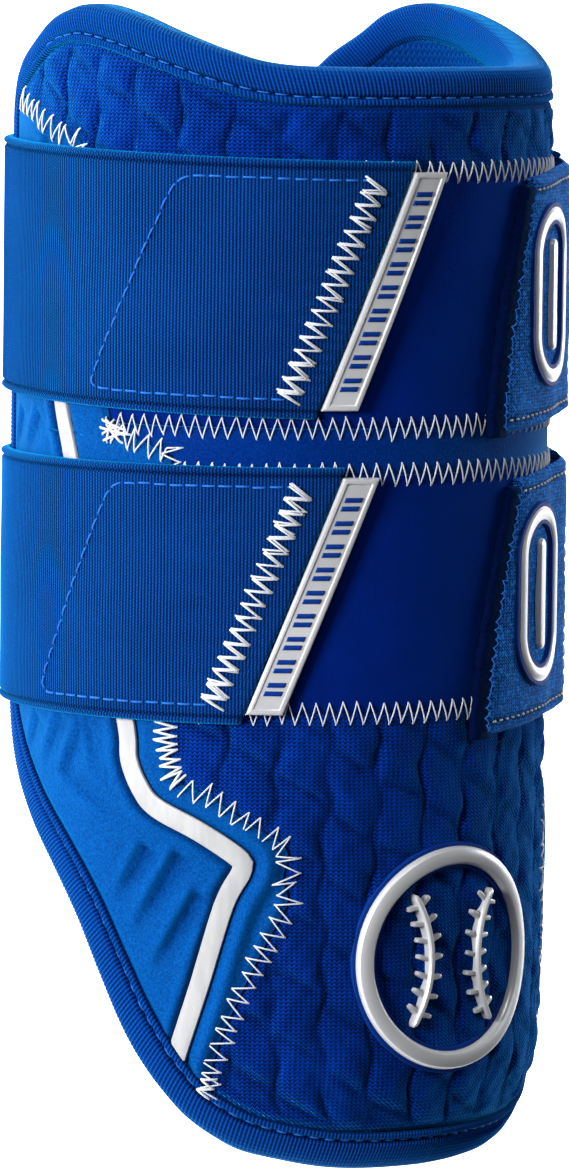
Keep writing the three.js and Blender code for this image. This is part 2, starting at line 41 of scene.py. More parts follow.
# Sizes of the guard, in millimetres, as its solids have them.
# A place on it is a wrap (round the arm from the front centre line, + to the right), a height (along the
# arm from the tongue's tip) and a lift (outside the pad's outer face).
TONGUE_LENGTH = 88.7
STRAP_WIDTH = 50.0
STRAP_GAP = 9.0
TOP_LENGTH = 29.5
STRAPS_SPAN = 2 * STRAP_WIDTH + STRAP_GAP
LENGTH = TONGUE_LENGTH + STRAPS_SPAN + TOP_LENGTH
LOWER_STRAP_HEIGHT = TONGUE_LENGTH + STRAP_WIDTH / 2
UPPER_STRAP_HEIGHT = LOWER_STRAP_HEIGHT + STRAP_WIDTH + STRAP_GAP
PAD_RADIUS = 53.4
HALF_WRAP = 123.0
TONGUE_BEND_HEIGHT = 26.0
TONGUE_BEND_DEPTH = 9.2
TOP_BEND_HEIGHT = 24.0
TOP_BEND_DEPTH = 4.0
CLEARANCE = 0.3
PANEL_THICKNESS = 1.6
PAD_BOTTOM = -8.4
BINDING_WIDTH = 7.0
BINDING_RISE = 0.3
EDGE_INSET = BINDING_WIDTH + 2 * CLEARANCE
STRAP_LIFT = BINDING_RISE + CLEARANCE
STRAP_THICKNESS = 1.7
STRAP_TOP = STRAP_LIFT + STRAP_THICKNESS
STRAP_END_SLANT = 19.5
BACK_CORNER_RADIUS = 14.0
BACK_ANGLE = HALF_WRAP / PAD_RADIUS
BACK_CORNER_CENTRE = PAD_RADIUS - BACK_CORNER_RADIUS
BACK_FLAT_HALF = BACK_CORNER_CENTRE * math.sin(BACK_ANGLE)
BACK_CORNER_LENGTH = (math.pi - BACK_ANGLE) * BACK_CORNER_RADIUS
HALF_LOOP = HALF_WRAP + BACK_CORNER_LENGTH + BACK_FLAT_HALF
AXIS_HEIGHT = BACK_CORNER_RADIUS + STRAP_TOP - BACK_CORNER_CENTRE * math.cos(BACK_ANGLE)
TAB_WRAP = 56.0
TAB_LAP = 14.0
TAB_EDGE_LEAN = 11.0
TAB_DROOP = 3.6
TAB_LIFT = 0.5
PULL_TAB_WIDTH = 7.0
PULL_TAB_INSET = 2.0
PULL_TAB_THICKNESS = 2.3
EMBLEM_WRAP = -2.5
EMBLEM_HEIGHT = 42.0
EMBLEM_RADIUS = 22.0
EMBLEM_BAND = 3.6
EMBLEM_SEAM_WIDTH = 2.6
EMBLEM_THICKNESS = 1.5
STRIPE_WIDTH = 4.0
STRIPE_DEPTH = 0.9
STRIPE_RECESS = 0.2

# Straps: the height of the middle, the climb towards the back, the wraps of the end and of the anchor tab,
# and how thick the tab's cloth is
STRAPS = {
    "upper": {"middle": UPPER_STRAP_HEIGHT, "rise": 1.7, "end": -14.5, "tab": 7.0, "thick": 2.0},
    "lower": {"middle": LOWER_STRAP_HEIGHT, "rise": 0.0, "end": -28.0, "tab": 3.5, "thick": 1.6},
}

# Seams beside the straps
LOWER_LOOP_LOW = TONGUE_LENGTH + 2.1
LOWER_LOOP_HIGH = TONGUE_LENGTH + STRAP_WIDTH - 1.5
UPPER_LOOP_LOW = UPPER_STRAP_HEIGHT - STRAP_WIDTH / 2 - 1.5
UPPER_LOOP_HIGH = UPPER_STRAP_HEIGHT + STRAP_WIDTH / 2 - 2.1

# Outline of the right half: share of HALF_WRAP, then place along the arm: 0 to 1 on the tongue, 1 to 2 beside
# the straps and 2 to 3 on the flared top, each as a share of that stretch.
OUTLINE = [
    (0, 0), (0.18, 0.005), (0.29, 0.023), (0.375, 0.051), (0.43, 0.087), (0.477, 0.131), (0.516, 0.19),
    (0.547, 0.246), (0.586, 0.325), (0.633, 0.438), (0.686, 0.558), (0.75, 0.661), (0.83, 0.761),
    (0.904, 0.863), (0.965, 0.986), (1, 1.145), (1, 1.937), (0.991, 2.4), (0.955, 2.607), (0.887, 2.777),
    (0.82, 2.931), (0.732, 3), (0.628, 2.946), (0.527, 2.831), (0.43, 2.715), (0.348, 2.638), (0.24, 2.615),
    (0, 2.615),
]
# Zigzag seam between the front panels and a side panel
SEAM = [
    (0.445, 0.154), (0.412, 0.302), (0.376, 0.415), (0.341, 0.515), (0.307, 0.604), (0.314, 0.661),
    (0.309, 0.725), (0.363, 0.774), (0.43, 0.832), (0.486, 0.866), (0.504, 0.917), (0.509, 1.02),
    (0.505, 1.458), (0.512, 1.474), (0.572, 1.502), (0.621, 1.531), (0.655, 1.77), (0.689, 2.037),
    (0.74, 2.13), (0.793, 2.215), (0.883, 2.33), (0.96, 2.4),
]
# Centre line of a side stripe
STRIPE = [
    (0.775, 1.687), (0.739, 1.543), (0.716, 1.466), (0.65, 1.228), (0.587, 0.996), (0.579, 0.909),
    (0.556, 0.845), (0.528, 0.807), (0.451, 0.758), (0.386, 0.702), (0.383, 0.674), (0.41, 0.602),
    (0.449, 0.423), (0.475, 0.312),
]
STRIPE_TAIL = 9.0
# Moulded slots of a side panel: two ends, as wrap and height, and the depth
SLOTS = [
    ((67.2, 64.6), (74.4, 52.0), 1.4), ((60.0, 63.6), (70.6, 45.2), 1.5), ((55.8, 56.0), (66.4, 37.6), 1.4),
    ((99.0, 87.8), (103.0, 79.2), 0.6), ((90.2, 88.8), (96.3, 76.4), 0.7), ((83.6, 87.6), (89.8, 74.4), 0.8),
    ((82.6, 88.0), (78.6, 76.4), 0.6), ((99.5, 147.4), (105.5, 138.2), 0.7),
    ((108.5, 147.4), (113.0, 138.2), 0.6), ((96.0, 203.0), (101.0, 196.5), 0.6),
    ((89.8, 77.0), (69.5, 65.8), 0.6),
]


# Sleeve: the form of the solids, and lines on it


def pad_radius(height):
    tongue = np.clip(1 - height / TONGUE_BEND_HEIGHT, 0, 1)
    top = np.clip((height - LENGTH + TOP_BEND_HEIGHT) / TOP_BEND_HEIGHT, 0, 1)
    return PAD_RADIUS - TONGUE_BEND_DEPTH * tongue**2 - TOP_BEND_DEPTH * top**2


def on_sleeve(wrap, height, lift):
    """Points in metres for wraps, heights and lifts in millimetres."""
    wrap, height, lift = np.broadcast_arrays(*(np.asarray(v, float) for v in (wrap, height, lift)))
    wrap = np.where(wrap > HALF_LOOP, wrap - 2 * HALF_LOOP, wrap)
    side = np.where(wrap < 0, -1.0, 1.0)
    far = np.abs(wrap)
    radius = pad_radius(height) + lift
    turn = BACK_ANGLE + (far - HALF_WRAP) / BACK_CORNER_RADIUS
    corner_x = BACK_FLAT_HALF + (BACK_CORNER_RADIUS + lift) * np.sin(turn)
    corner_z = (BACK_CORNER_RADIUS + lift) * np.cos(turn)
    on_pad = far <= HALF_WRAP
    on_corner = far <= HALF_WRAP + BACK_CORNER_LENGTH
    back_z = np.where(on_corner, corner_z, -BACK_CORNER_RADIUS - lift)
    back_z = back_z + BACK_CORNER_CENTRE * math.cos(BACK_ANGLE)
    x = np.where(on_pad, radius * np.sin(far / PAD_RADIUS), np.where(on_corner, corner_x, HALF_LOOP - far))
    z = np.where(on_pad, radius * np.cos(far / PAD_RADIUS), back_z)
    return np.stack([side * x, height - LENGTH / 2, AXIS_HEIGHT + z], -1) * 0.001


def height_of(along):
    return float(np.interp(along, [0, 1, 2, 3], [0, TONGUE_LENGTH, TONGUE_LENGTH + STRAPS_SPAN, LENGTH]))


def smooth(low, high, value):
    """A soft step from 0 at low to 1 at high."""
    share = np.clip((value - low) / (high - low), 0, 1)
    return share * share * (3 - 2 * share)


def bell(value, width):
    """A soft bump, 1 at 0 and near 0 past twice the width."""
    return np.exp(-((value / width) ** 2))


def run_along(line):
    return np.concatenate([[0], np.cumsum(np.hypot(*np.diff(line[:, :2], axis=0).T))])


def pick_rows(at, run, rows):
    """Rows at places along a run, each between its neighbours."""
    return np.stack([np.interp(at, run, column) for column in rows.T], 1)


def even_steps(line, count):
    run = run_along(line)
    return pick_rows(np.linspace(0, run[-1], count + 1), run, line)


def smooth_line(rows, count):
    """A Catmull-Rom curve through the rows, at even steps."""
    points = np.array([[share * HALF_WRAP, height_of(along)] for share, along in rows])
    padded = np.vstack([points[:1], points, points[-1:]])
    fine = []
    t = np.linspace(0, 1, 24, endpoint=False)[:, None]
    for a, b, c, d in zip(padded, padded[1:], padded[2:], padded[3:]):
        square = (2 * a - 5 * b + 4 * c - d) * t**2
        cube = (3 * b - a - 3 * c + d) * t**3
        fine.append(0.5 * (2 * b + (c - a) * t + square + cube))
    return even_steps(np.vstack([*fine, points[-1:]]), count)


def unit_rows(rows):
    return rows / np.maximum(np.hypot(*rows.T), 1e-9)[:, None]


def sides_of(line):
    """Unit vectors to the left of a line."""
    along = unit_rows(np.gradient(line, axis=0))
    return np.stack([-along[:, 1], along[:, 0]], 1)


HALF_OUTLINE = smooth_line(OUTLINE, 500)


def inset_outline(distance):
    line = HALF_OUTLINE + sides_of(HALF_OUTLINE) * distance
    line[0] = 0, HALF_OUTLINE[0, 1] + distance
    line[-1] = 0, HALF_OUTLINE[-1, 1] - distance
    return line


def whole_outline(distance, count):
    right = inset_outline(distance)
    left = right[-2:0:-1] * (-1, 1)
    return even_steps(np.vstack([right, left, right[:1]]), count)[:-1]


def with_tail(line, length):
    """The line, run straight on past its end."""
    way = (line[-1] - line[-4]) / np.hypot(*(line[-1] - line[-4]))
    return np.vstack([line, line[-1] + np.linspace(0.5, length, 16)[:, None] * way])


PAD_EDGE = inset_outline(EDGE_INSET)
SEAM_LINE = smooth_line(SEAM, 300)
STRIPE_TO_TAPE = with_tail(smooth_line(STRIPE, 160), STRIPE_TAIL)


def mirrored(line, side):
    return line * (side, 1)


def crossings(line, level, axis):
    """Where a line meets a level of one axis, as values of the other."""
    a, b = line[:-1], line[1:]
    other = 1 - axis
    hit = ((a[:, axis] - level) * (b[:, axis] - level) <= 0) & (a[:, axis] != b[:, axis])
    share = (level - a[hit, axis]) / (b[hit, axis] - a[hit, axis])
    return a[hit, other] + (b[hit, other] - a[hit, other]) * share


def wrap_at(line, height):
    return float(crossings(line, height, 1).max())


def seam_wrap(height):
    return wrap_at(SEAM_LINE, np.clip(height, SEAM_LINE[0, 1], SEAM_LINE[-1, 1]))


def nearest(line, wrap, height):
    """Distance to a line, the side of it (+ to its left) and the run along it, for each place."""
    place = np.stack([np.ravel(wrap), np.ravel(height)], 1)
    run = run_along(line)
    best = np.full(len(place), np.inf)
    side, at = np.zeros((2, len(place)))
    for k in range(len(line) - 1):
        along = line[k + 1] - line[k]
        size = along @ along
        if size == 0:
            continue
        from_start = place - line[k]
        share = np.clip(from_start @ along / size, 0, 1)
        distance = np.hypot(*(from_start - share[:, None] * along).T)
        closer = distance < best
        best[closer] = distance[closer]
        side[closer] = np.sign(along[0] * from_start[:, 1] - along[1] * from_start[:, 0])[closer]
        at[closer] = (run[k] + share * math.sqrt(size))[closer]
    return (v.reshape(np.shape(wrap)) for v in (best, side, at))


# Node materials

RIB_PITCH = 0.67
BINDING_RIB = 0.86
FLOOR_GLOW = 2.2


class Look:
    """A principled material with a few short ways to add nodes."""

    def __init__(self, name, color, roughness, sheen=0.0, sheen_tint=(0.005, 0.44, 1.0), metallic=0.0,
                 specular=0.08, ior=1.15):
        self.material = bpy.data.materials.new(name)
        self.material.use_nodes = True
        self.nodes = self.material.node_tree.nodes
        self.links = self.material.node_tree.links
        self.shader = self.nodes["Principled BSDF"]
        self.shader.inputs["Base Color"].default_value = (*color, 1)
        self.shader.inputs["Roughness"].default_value = roughness
        self.shader.inputs["Metallic"].default_value = metallic
        self.shader.inputs["Sheen Weight"].default_value = sheen
        self.shader.inputs["Sheen Roughness"].default_value = 0.4
        self.shader.inputs["Specular IOR Level"].default_value = specular
        self.shader.inputs["IOR"].default_value = ior
        self.shader.inputs["Sheen Tint"].default_value = (*sheen_tint, 1)
        self.material.diffuse_color = (*color, 1)

    def node(self, kind, values=None, **props):
        made = self.nodes.new("ShaderNode" + kind)
        for name, value in props.items():
            setattr(made, name, value)
        for key, value in (values or {}).items():
            if isinstance(value, bpy.types.NodeSocket):
                self.links.new(value, made.inputs[key])
            else:
                made.inputs[key].default_value = value
        return made

    def math(self, operation, a, b=0.0):
        return self.node("Math", {0: a, 1: b}, operation=operation).outputs[0]

    def total(self, *parts, less=0.0):
        """The sum of parts, each a value and its weight, less a constant."""
        share = None
        for value, weight in parts:
            part = value if weight == 1 else self.math("MULTIPLY", value, weight)
            share = self.math("ADD", share, part) if share else part
        return self.math("SUBTRACT", share, less) if less else share

    def layer(self, name):
        """The two numbers that a piece holds for each of its places in a layer."""
        both = self.node("SeparateXYZ", {0: self.node("UVMap", uv_map=name).outputs[0]})
        return both.outputs[0], both.outputs[1]

    def with_painted_shading(self, share, depth):
        """A share made darker by the painted shade in the piece's shading layer, and lighter where that layer
        holds painted highlight.
        """
        return self.math("SUBTRACT", share, self.math("MULTIPLY", self.layer("relief_with_painted_shade")[0], depth))

    def wave(self, value, period, shift=0.0):
        """A cosine from 0 to 1 with the period."""
        turn = self.math("ADD", self.math("MULTIPLY", value, 2 * math.pi / period), shift)
        return self.math("ADD", self.math("MULTIPLY", self.math("COSINE", turn), 0.5), 0.5)

    def noise(self, scale, detail=3.0, stretch=None):
        """Noise in object space, scale in bumps to the metre."""
        coords = self.node("TexCoord").outputs["Object"]
        if stretch:
            coords = self.node("Mapping", {"Vector": coords, "Scale": stretch}).outputs[0]
        return self.node("TexNoise", {"Vector": coords, "Scale": scale, "Detail": detail}).outputs[0]

    def paint(self, share, low, high):
        """Base colour from low to high by a share from 0 to 1."""
        ends = {"Factor": share, "A": (*low, 1), "B": (*high, 1)}
        mix = self.node("Mix", ends, data_type="RGBA", clamp_factor=True)
        self.links.new(mix.outputs[2], self.shader.inputs["Base Color"])

    def rough(self, share, low, high):
        span = self.node("MapRange", {"Value": share, "To Min": low, "To Max": high})
        self.links.new(span.outputs[0], self.shader.inputs["Roughness"])

    def bump(self, *heights):
        """Bumps in turn, each a height from 0 to 1 and its depth in millimetres. Gives the material."""
        normal = None
        for height, depth in heights:
            made = self.node("Bump", {"Height": height, "Distance": depth * 0.001, "Strength": 1.0})
            if normal:
                self.links.new(normal, made.inputs["Normal"])
            normal = made.outputs[0]
        self.links.new(normal, self.shader.inputs["Normal"])
        return self.material


def knit_pattern(look, width, rise):
    """Knit stitches: columns of V shapes, from 0 in the gaps to 1 on the yarn."""
    wrap, height = look.layer("sleeve")
    across = look.math("FRACT", look.math("DIVIDE", wrap, width))
    leg = look.math("ABSOLUTE", look.math("SUBTRACT", across, 0.5))
    slanted = look.total((look.math("DIVIDE", height, rise), 1), (leg, 1.3))
    return look.total((look.wave(slanted, 1.0), 0.68), (look.wave(wrap, width, math.pi), 0.32))


def knit_look():
    look = Look("knit_cloth", (0.001, 0.034, 0.34), 0.72, 0.8, (0.01, 0.38, 1.0))
    stitch = knit_pattern(look, 1.0, 0.76)
    cloud = look.noise(90, 4)
    # The stitch pattern in the base colour is painted highlight on the yarn and painted shade in its gaps;
    # the shading layer adds painted shade in the grooves.
    share = look.total((stitch, 1.4), (cloud, 0.8), less=0.62)
    look.paint(look.with_painted_shading(share, 0.6), (0.0001, 0.002, 0.035), (0.001, 0.034, 0.34))
    look.rough(cloud, 0.62, 0.85)
    return look.bump((stitch, 0.26), (look.noise(350, 3), 0.3), (look.noise(900, 2), 0.12))


def webbing_look():
    look = Look("elastic_webbing", (0.004, 0.04, 0.22), 0.66, 1.0)
    wrap, height = look.layer("sleeve")
    rib = look.wave(wrap, RIB_PITCH)
    pick = look.wave(look.total((height, 1), (look.wave(wrap, 2 * RIB_PITCH), 0.3)), 0.62)
    thread = look.math("MULTIPLY", rib, look.math("ADD", look.math("MULTIPLY", pick, 0.5), 0.5))
    cloud = look.noise(60, 3)
    share = look.total((thread, 1.15), (cloud, 0.35), less=0.18)
    # Painted shade from the shading layer darkens the selvage grooves.
    look.paint(look.with_painted_shading(share, 0.6), (0.0002, 0.004, 0.035), (0.003, 0.056, 0.29))
    look.rough(cloud, 0.55, 0.75)
    return look.bump((thread, 0.13), (look.noise(1400, 2), 0.06))


def binding_look():
    look = Look("binding_tape", (0.003, 0.03, 0.2), 0.62, 0.55)
    run, across = look.layer("sleeve")
    rib = look.wave(run, BINDING_RIB)
    pick = look.wave(across, 0.7)
    share = look.total((rib, 0.85), (pick, 0.2), (look.noise(70, 3), 0.2))
    # Painted shade from the shading layer darkens the seam groove and the tape's inner rim.
    look.paint(look.with_painted_shading(share, 0.8), (0.0002, 0.005, 0.055), (0.0015, 0.052, 0.31))
    return look.bump((rib, 0.14), (pick, 0.05), (look.noise(1500, 2), 0.06))


def stretch_look(name, low, high, sheen):
    look = Look(name, high, 0.62, sheen)
    speck = look.noise(2300, 2)
    cloud = look.noise(45, 4)
    # Painted shade from the shading layer darkens slots and the stripe's channel; painted highlight lightens
    # the slots' lit walls.
    look.paint(look.with_painted_shading(look.total((speck, 1.7), (cloud, 0.5), less=0.52), 0.75), low, high)
    look.rough(cloud, 0.55, 0.75)
    return look.bump((speck, 0.12), (look.noise(600, 2), 0.10))


def loop_look():
    look = Look("loop_cloth", (0.001, 0.01, 0.10), 0.85, 0.3)
    fuzz = look.noise(2200, 2)
    share = look.total((fuzz, 0.4), (look.noise(70, 5), 0.6))
    look.paint(share, (0.0002, 0.006, 0.085), (0.0006, 0.018, 0.22))
    return look.bump((fuzz, 0.1), (look.noise(300, 4), 0.12), (look.noise(55, 2, (1, 0.4, 1)), 0.9))


def lining_look():
    look = Look("lining_cloth", (0.002, 0.03, 0.2), 0.75, 0.4)
    cell = knit_pattern(look, 1.7, 1.4)
    share = look.total((cell, 0.7), (look.noise(80, 3), 0.4))
    look.paint(share, (0.0002, 0.008, 0.075), (0.0015, 0.055, 0.30))
    return look.bump((cell, 0.25), (look.noise(1300, 2), 0.06))


def tab_look():
    look = Look("tab_knit", (0.003, 0.05, 0.27), 0.6, 0.3)
    stitch = knit_pattern(look, 0.8, 0.66)
    cloud = look.noise(120, 4)
    glint = look.noise(1500, 2)
    # The glint noise and the bright specks in the base colour are painted glints; the shading layer adds
    # painted shade in the hem grooves.
    bright = {"Value": look.noise(1250, 2), "From Min": 0.52, "From Max": 0.68}
    painted_glint_specks = look.node("MapRange", bright).outputs[0]
    share = look.total((stitch, 0.9), (cloud, 0.4), (look.math("ADD", glint, painted_glint_specks), 1), less=0.88)
    look.paint(look.with_painted_shading(share, 0.9), (0.0002, 0.006, 0.07), (0.02, 0.22, 0.85))
    look.rough(glint, 0.5, 0.75)
    return look.bump((stitch, 0.2), (cloud, 0.5), (glint, 0.14))


def hook_and_shadow_look():
    # Near-black hook pile: the hook layer, made dark enough to stand in as painted shadow under the anchor
    # tab's lifted edge.
    look = Look("hook_pad_and_shadow", (0.0004, 0.003, 0.03), 0.8, 0.2)
    pile = look.noise(1800, 2)
    look.paint(pile, (0.0001, 0.0008, 0.010), (0.0008, 0.006, 0.05))
    return look.bump((pile, 0.2), (look.noise(500, 3), 0.2))


def film_look():
    look = Look("white_film", (0.80, 0.82, 0.85), 0.45, specular=0.4, ior=1.45)
    grain = look.noise(500, 3, (1, 0.25, 1))
    # Painted shade from the shading layer, which the stripes leave empty.
    look.paint(look.with_painted_shading(grain, 0.5), (0.31, 0.31, 0.325), (0.54, 0.535, 0.53))
    look.rough(grain, 0.38, 0.6)
    return look.bump((grain, 0.11), (look.noise(60, 2), 0.15))


def rubber_look():
    look = Look("pale_rubber", (0.62, 0.62, 0.63), 0.32, metallic=0.25, specular=0.5, ior=1.45)
    cloud = look.noise(55, 4)
    look.paint(cloud, (0.50, 0.50, 0.52), (0.74, 0.74, 0.75))
    look.rough(look.noise(160, 3), 0.24, 0.42)
    return look.bump((look.noise(900, 2), 0.02), (cloud, 0.1))


def thread_look(name, low, high):
    look = Look(name, high, 0.5, ior=1.3)
    twist = look.noise(1600, 2, (1, 1, 0.4))
    look.paint(twist, low, high)
    return look.bump((twist, 0.06))


def floor_look():
    look = Look("plain_floor", (0.86, 0.87, 0.88), 0.75)
    look.paint(look.noise(3, 2), (0.85, 0.86, 0.87), (0.88, 0.885, 0.89))
    look.shader.inputs["Emission Color"].default_value = (1, 1, 1, 1)
    look.shader.inputs["Emission Strength"].default_value = FLOOR_GLOW
    return look.material


KNIT = knit_look()
WEBBING = webbing_look()
BINDING = binding_look()
STRETCH = stretch_look("smooth_stretch", (0.0002, 0.022, 0.13), (0.0015, 0.080, 0.325), 0.9)
# A darker copy of the side panels' stretch material: painted shade for the band in the shaded middle of the
# front.
SHADED_BAND_STRETCH = stretch_look("shaded_band_stretch", (0.0001, 0.008, 0.08), (0.0006, 0.028, 0.22), 0.6)
LOOP = loop_look()
LINING = lining_look()
TAB_KNIT = tab_look()
HOOK_AND_SHADOW = hook_and_shadow_look()
FILM = film_look()
RUBBER = rubber_look()
WHITE_THREAD = thread_look("white_thread", (0.44, 0.47, 0.52), (0.75, 0.765, 0.80))
BLUE_THREAD = thread_look("blue_thread", (0.004, 0.07, 0.36), (0.03, 0.2, 0.68))
PALE_THREAD = thread_look("pale_blue_thread", (0.004, 0.065, 0.36), (0.035, 0.20, 0.66))
NAVY_RUBBER = thread_look("navy_rubber", (0.002, 0.02, 0.16), (0.004, 0.04, 0.25))


# Meshes


def add_object(name, data):
    made = bpy.data.objects.new(name, data)
    bpy.context.scene.collection.objects.link(made)
    return made


def add_piece(name, points, faces, material, replaces=(), places=None, sharp=50, shade=None):
    """A mesh piece that rides with the guard. places holds the wrap and height of each point, for its weave,
    and shade from 0 to 1 the painted shade there, with painted highlight below 0."""
    mesh = bpy.data.meshes.new(name)
    mesh.from_pydata(points.tolist(), [], faces)
    mesh.materials.append(material)
    mesh.polygons.foreach_set("use_smooth", [True] * len(mesh.polygons))
    mesh.set_sharp_from_angle(angle=math.radians(sharp))
    if places is not None:
        corners = np.empty(len(mesh.loops), int)
        mesh.loops.foreach_get("vertex_index", corners)
        painted_shading = np.zeros((len(points), 2))
        painted_shading[:, 0] = 0 if shade is None else shade
        # The second layer holds painted shade, and painted highlight below 0, for the base colour; it does
        # not change the form.
        for layer_name, values in (("sleeve", places), ("relief_with_painted_shade", painted_shading)):
            layer = mesh.uv_layers.new(name=layer_name)
            layer.data.foreach_set("uv", values[corners].ravel())
    piece = add_object(name, mesh)
    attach(piece, "root")
    for node in replaces:
        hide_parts(node)
    return piece


def cells(columns, rows):
    """Column and row of each cell of a grid."""
    return (v.ravel() for v in np.meshgrid(np.arange(columns), np.arange(rows), indexing="ij"))


def slab(name, wrap, height, low, high, material, replaces=(), closed=False, sharp=50, shade=None):
    """A closed slab over a grid of places, columns first, from one lift to another."""
    columns, rows = wrap.shape
    points = np.concatenate([on_sleeve(wrap, height, lift).reshape(-1, 3) for lift in (low, high)])
    places = np.tile(np.stack([wrap.ravel(), height.ravel()], 1), (2, 1))
    spans = columns if closed else columns - 1

    def at(col, row, top):
        return (top * columns + col % columns) * rows + row

    i, j = cells(spans, rows - 1)
    faces = [
        (at(i, j, 1), at(i + 1, j, 1), at(i + 1, j + 1, 1), at(i, j + 1, 1)),
        (at(i, j, 0), at(i, j + 1, 0), at(i + 1, j + 1, 0), at(i + 1, j, 0)),
    ]
    i, end = np.arange(spans), rows - 1
    faces.append((at(i, 0, 0), at(i + 1, 0, 0), at(i + 1, 0, 1), at(i, 0, 1)))
    faces.append((at(i, end, 0), at(i, end, 1), at(i + 1, end, 1), at(i + 1, end, 0)))
    if not closed:
        j, end = np.arange(rows - 1), columns - 1
        faces.append((at(0, j, 0), at(0, j, 1), at(0, j + 1, 1), at(0, j + 1, 0)))
        faces.append((at(end, j, 0), at(end, j + 1, 0), at(end, j + 1, 1), at(end, j, 1)))
    faces = np.concatenate([np.stack(corners, 1) for corners in faces]).tolist()
    if shade is not None:
        shade = np.tile(np.broadcast_to(shade, wrap.shape).ravel(), 2)
    return add_piece(name, points, faces, material, replaces, places, sharp, shade)


def declare_sheet(wrap, height, turn_in=0.0):
    """Works out the flat area in square metres of a cloth panel, with turn_in metres more along the arm for
    its seams; the area is not used.
    """
    a = np.stack([np.diff(wrap, axis=0)[:, :-1], np.diff(height, axis=0)[:, :-1]], -1)
    b = np.stack([np.diff(wrap, axis=1)[:-1], np.diff(height, axis=1)[:-1]], -1)
    area = float(np.abs(a[..., 0] * b[..., 1] - a[..., 1] * b[..., 0]).sum()) * 1e-6
    across, along = float(np.ptp(wrap)) * 0.001, float(np.ptp(height)) * 0.001
    area = min(area, across * along) + turn_in * across * 0.9


def rim_distance(wrap, height):
    """Distance of each place of a grid to the grid's rim."""
    places = np.stack([wrap, height], -1)
    rim = np.concatenate([places[:, 0], places[-1, 1:], places[-2::-1, -1], places[0, -2::-1]])
    return next(nearest(even_steps(rim, min(len(rim), 400)), wrap, height))


def tubes(name, paths, radius, material, sides=6):
    """Round threads along paths of [wrap, height, lift] rows, each with closed ends."""
    points, faces, start = [], [], 0
    turn = np.linspace(0, 2 * math.pi, sides, endpoint=False)[None, :, None]
    for path in paths:
        centre = on_sleeve(*path.T)
        along = np.gradient(centre, axis=0)
        along /= np.linalg.norm(along, axis=1)[:, None]
        out = on_sleeve(*(path + (0, 0, 1)).T) - centre
        out -= (out * along).sum(1)[:, None] * along
        out /= np.linalg.norm(out, axis=1)[:, None]
        ring = np.cos(turn) * out[:, None] + np.sin(turn) * np.cross(along, out)[:, None]
        points.append((centre[:, None] + ring * radius * 0.001).reshape(-1, 3))
        i, j = cells(len(path) - 1, sides)
        base = start + i * sides
        k = (j + 1) % sides
        faces += np.stack([base + j, base + sides + j, base + sides + k, base + k], 1).tolist()
        last = start + (len(path) - 1) * sides
        faces.append(list(range(start, start + sides)))
        faces.append(list(range(last + sides - 1, last - 1, -1)))
        start = last + sides
    return add_piece(name, np.concatenate(points), faces, material, sharp=80)


# Stitches


def lift_at(lift, flat):
    return lift(*flat.T) if callable(lift) else np.full(len(flat), lift)


def zigzag(line, pitch, half, lift, shake=0.12, arch=0.32, shift=0.0):
    """Legs of a zigzag stitch along a line, each sunk into the cloth at its ends."""
    run = run_along(line)
    count = max(2, round(run[-1] / (pitch / 2)))
    at = np.linspace(0, run[-1], count + 1) + shift
    out = pick_rows(at, run, sides_of(line))
    way = np.where(np.arange(count + 1) % 2, 1.0, -1.0)[:, None]
    tips = pick_rows(at, run, line) + out * way * half + rng.normal(0, shake, (count + 1, 2))
    share = np.array([-0.03, 0.08, 0.5, 0.92, 1.03])
    rise = np.array([-0.35, 0.6, 1.0, 0.6, -0.35]) * arch
    base = lift_at(lift, tips)
    paths = []
    for k in range(count):
        flat = tips[k] + (tips[k + 1] - tips[k]) * share[:, None]
        height = base[k] + (base[k + 1] - base[k]) * np.clip(share, 0, 1) + rise
        paths.append(np.column_stack([flat, height]))
    return paths


def running(line, dash, gap, lift, arch=0.16, shake=0.06):
    """Dashes of a running stitch along a line."""
    run = run_along(line)
    share = np.array([0.0, 0.15, 0.5, 0.85, 1.0])
    rise = np.array([-0.6, 0.55, 1.0, 0.55, -0.6]) * arch
    paths = []
    for start in np.arange(gap / 2, run[-1] - dash, dash + gap):
        flat = pick_rows(start + share * dash, run, line) + rng.normal(0, shake, 2)
        paths.append(np.column_stack([flat, lift_at(lift, flat) + rise]))
    return paths


def straight(*corners):
    return even_steps(np.array(corners, float), 60 * (len(corners) - 1))


def rounded(line, reach):
    """The line with its corners eased over a few steps."""
    padded = np.pad(line, ((reach, reach), (0, 0)), mode="reflect", reflect_type="odd")
    window = np.ones(2 * reach + 1) / (2 * reach + 1)
    return np.stack([np.convolve(column, window, "valid") for column in padded.T], 1)


# Pad: the padded wall with its lining, and the outer panels

KNIT_COLUMN = 10.1
KNIT_ROW = 12.6
KNIT_SWAY = 0.75
KNIT_STEP = 0.62
KNIT_TOP_REACH = 112.0
LOOP_STEP = 1.6
SEAM_GAP = 0.15
SLOT_RAMP = 6.4
SLOT_WALL = 0.7
SIDE_COLUMNS = 92
SIDE_ROWS = 276
STRIPE_END_ROWS = 40


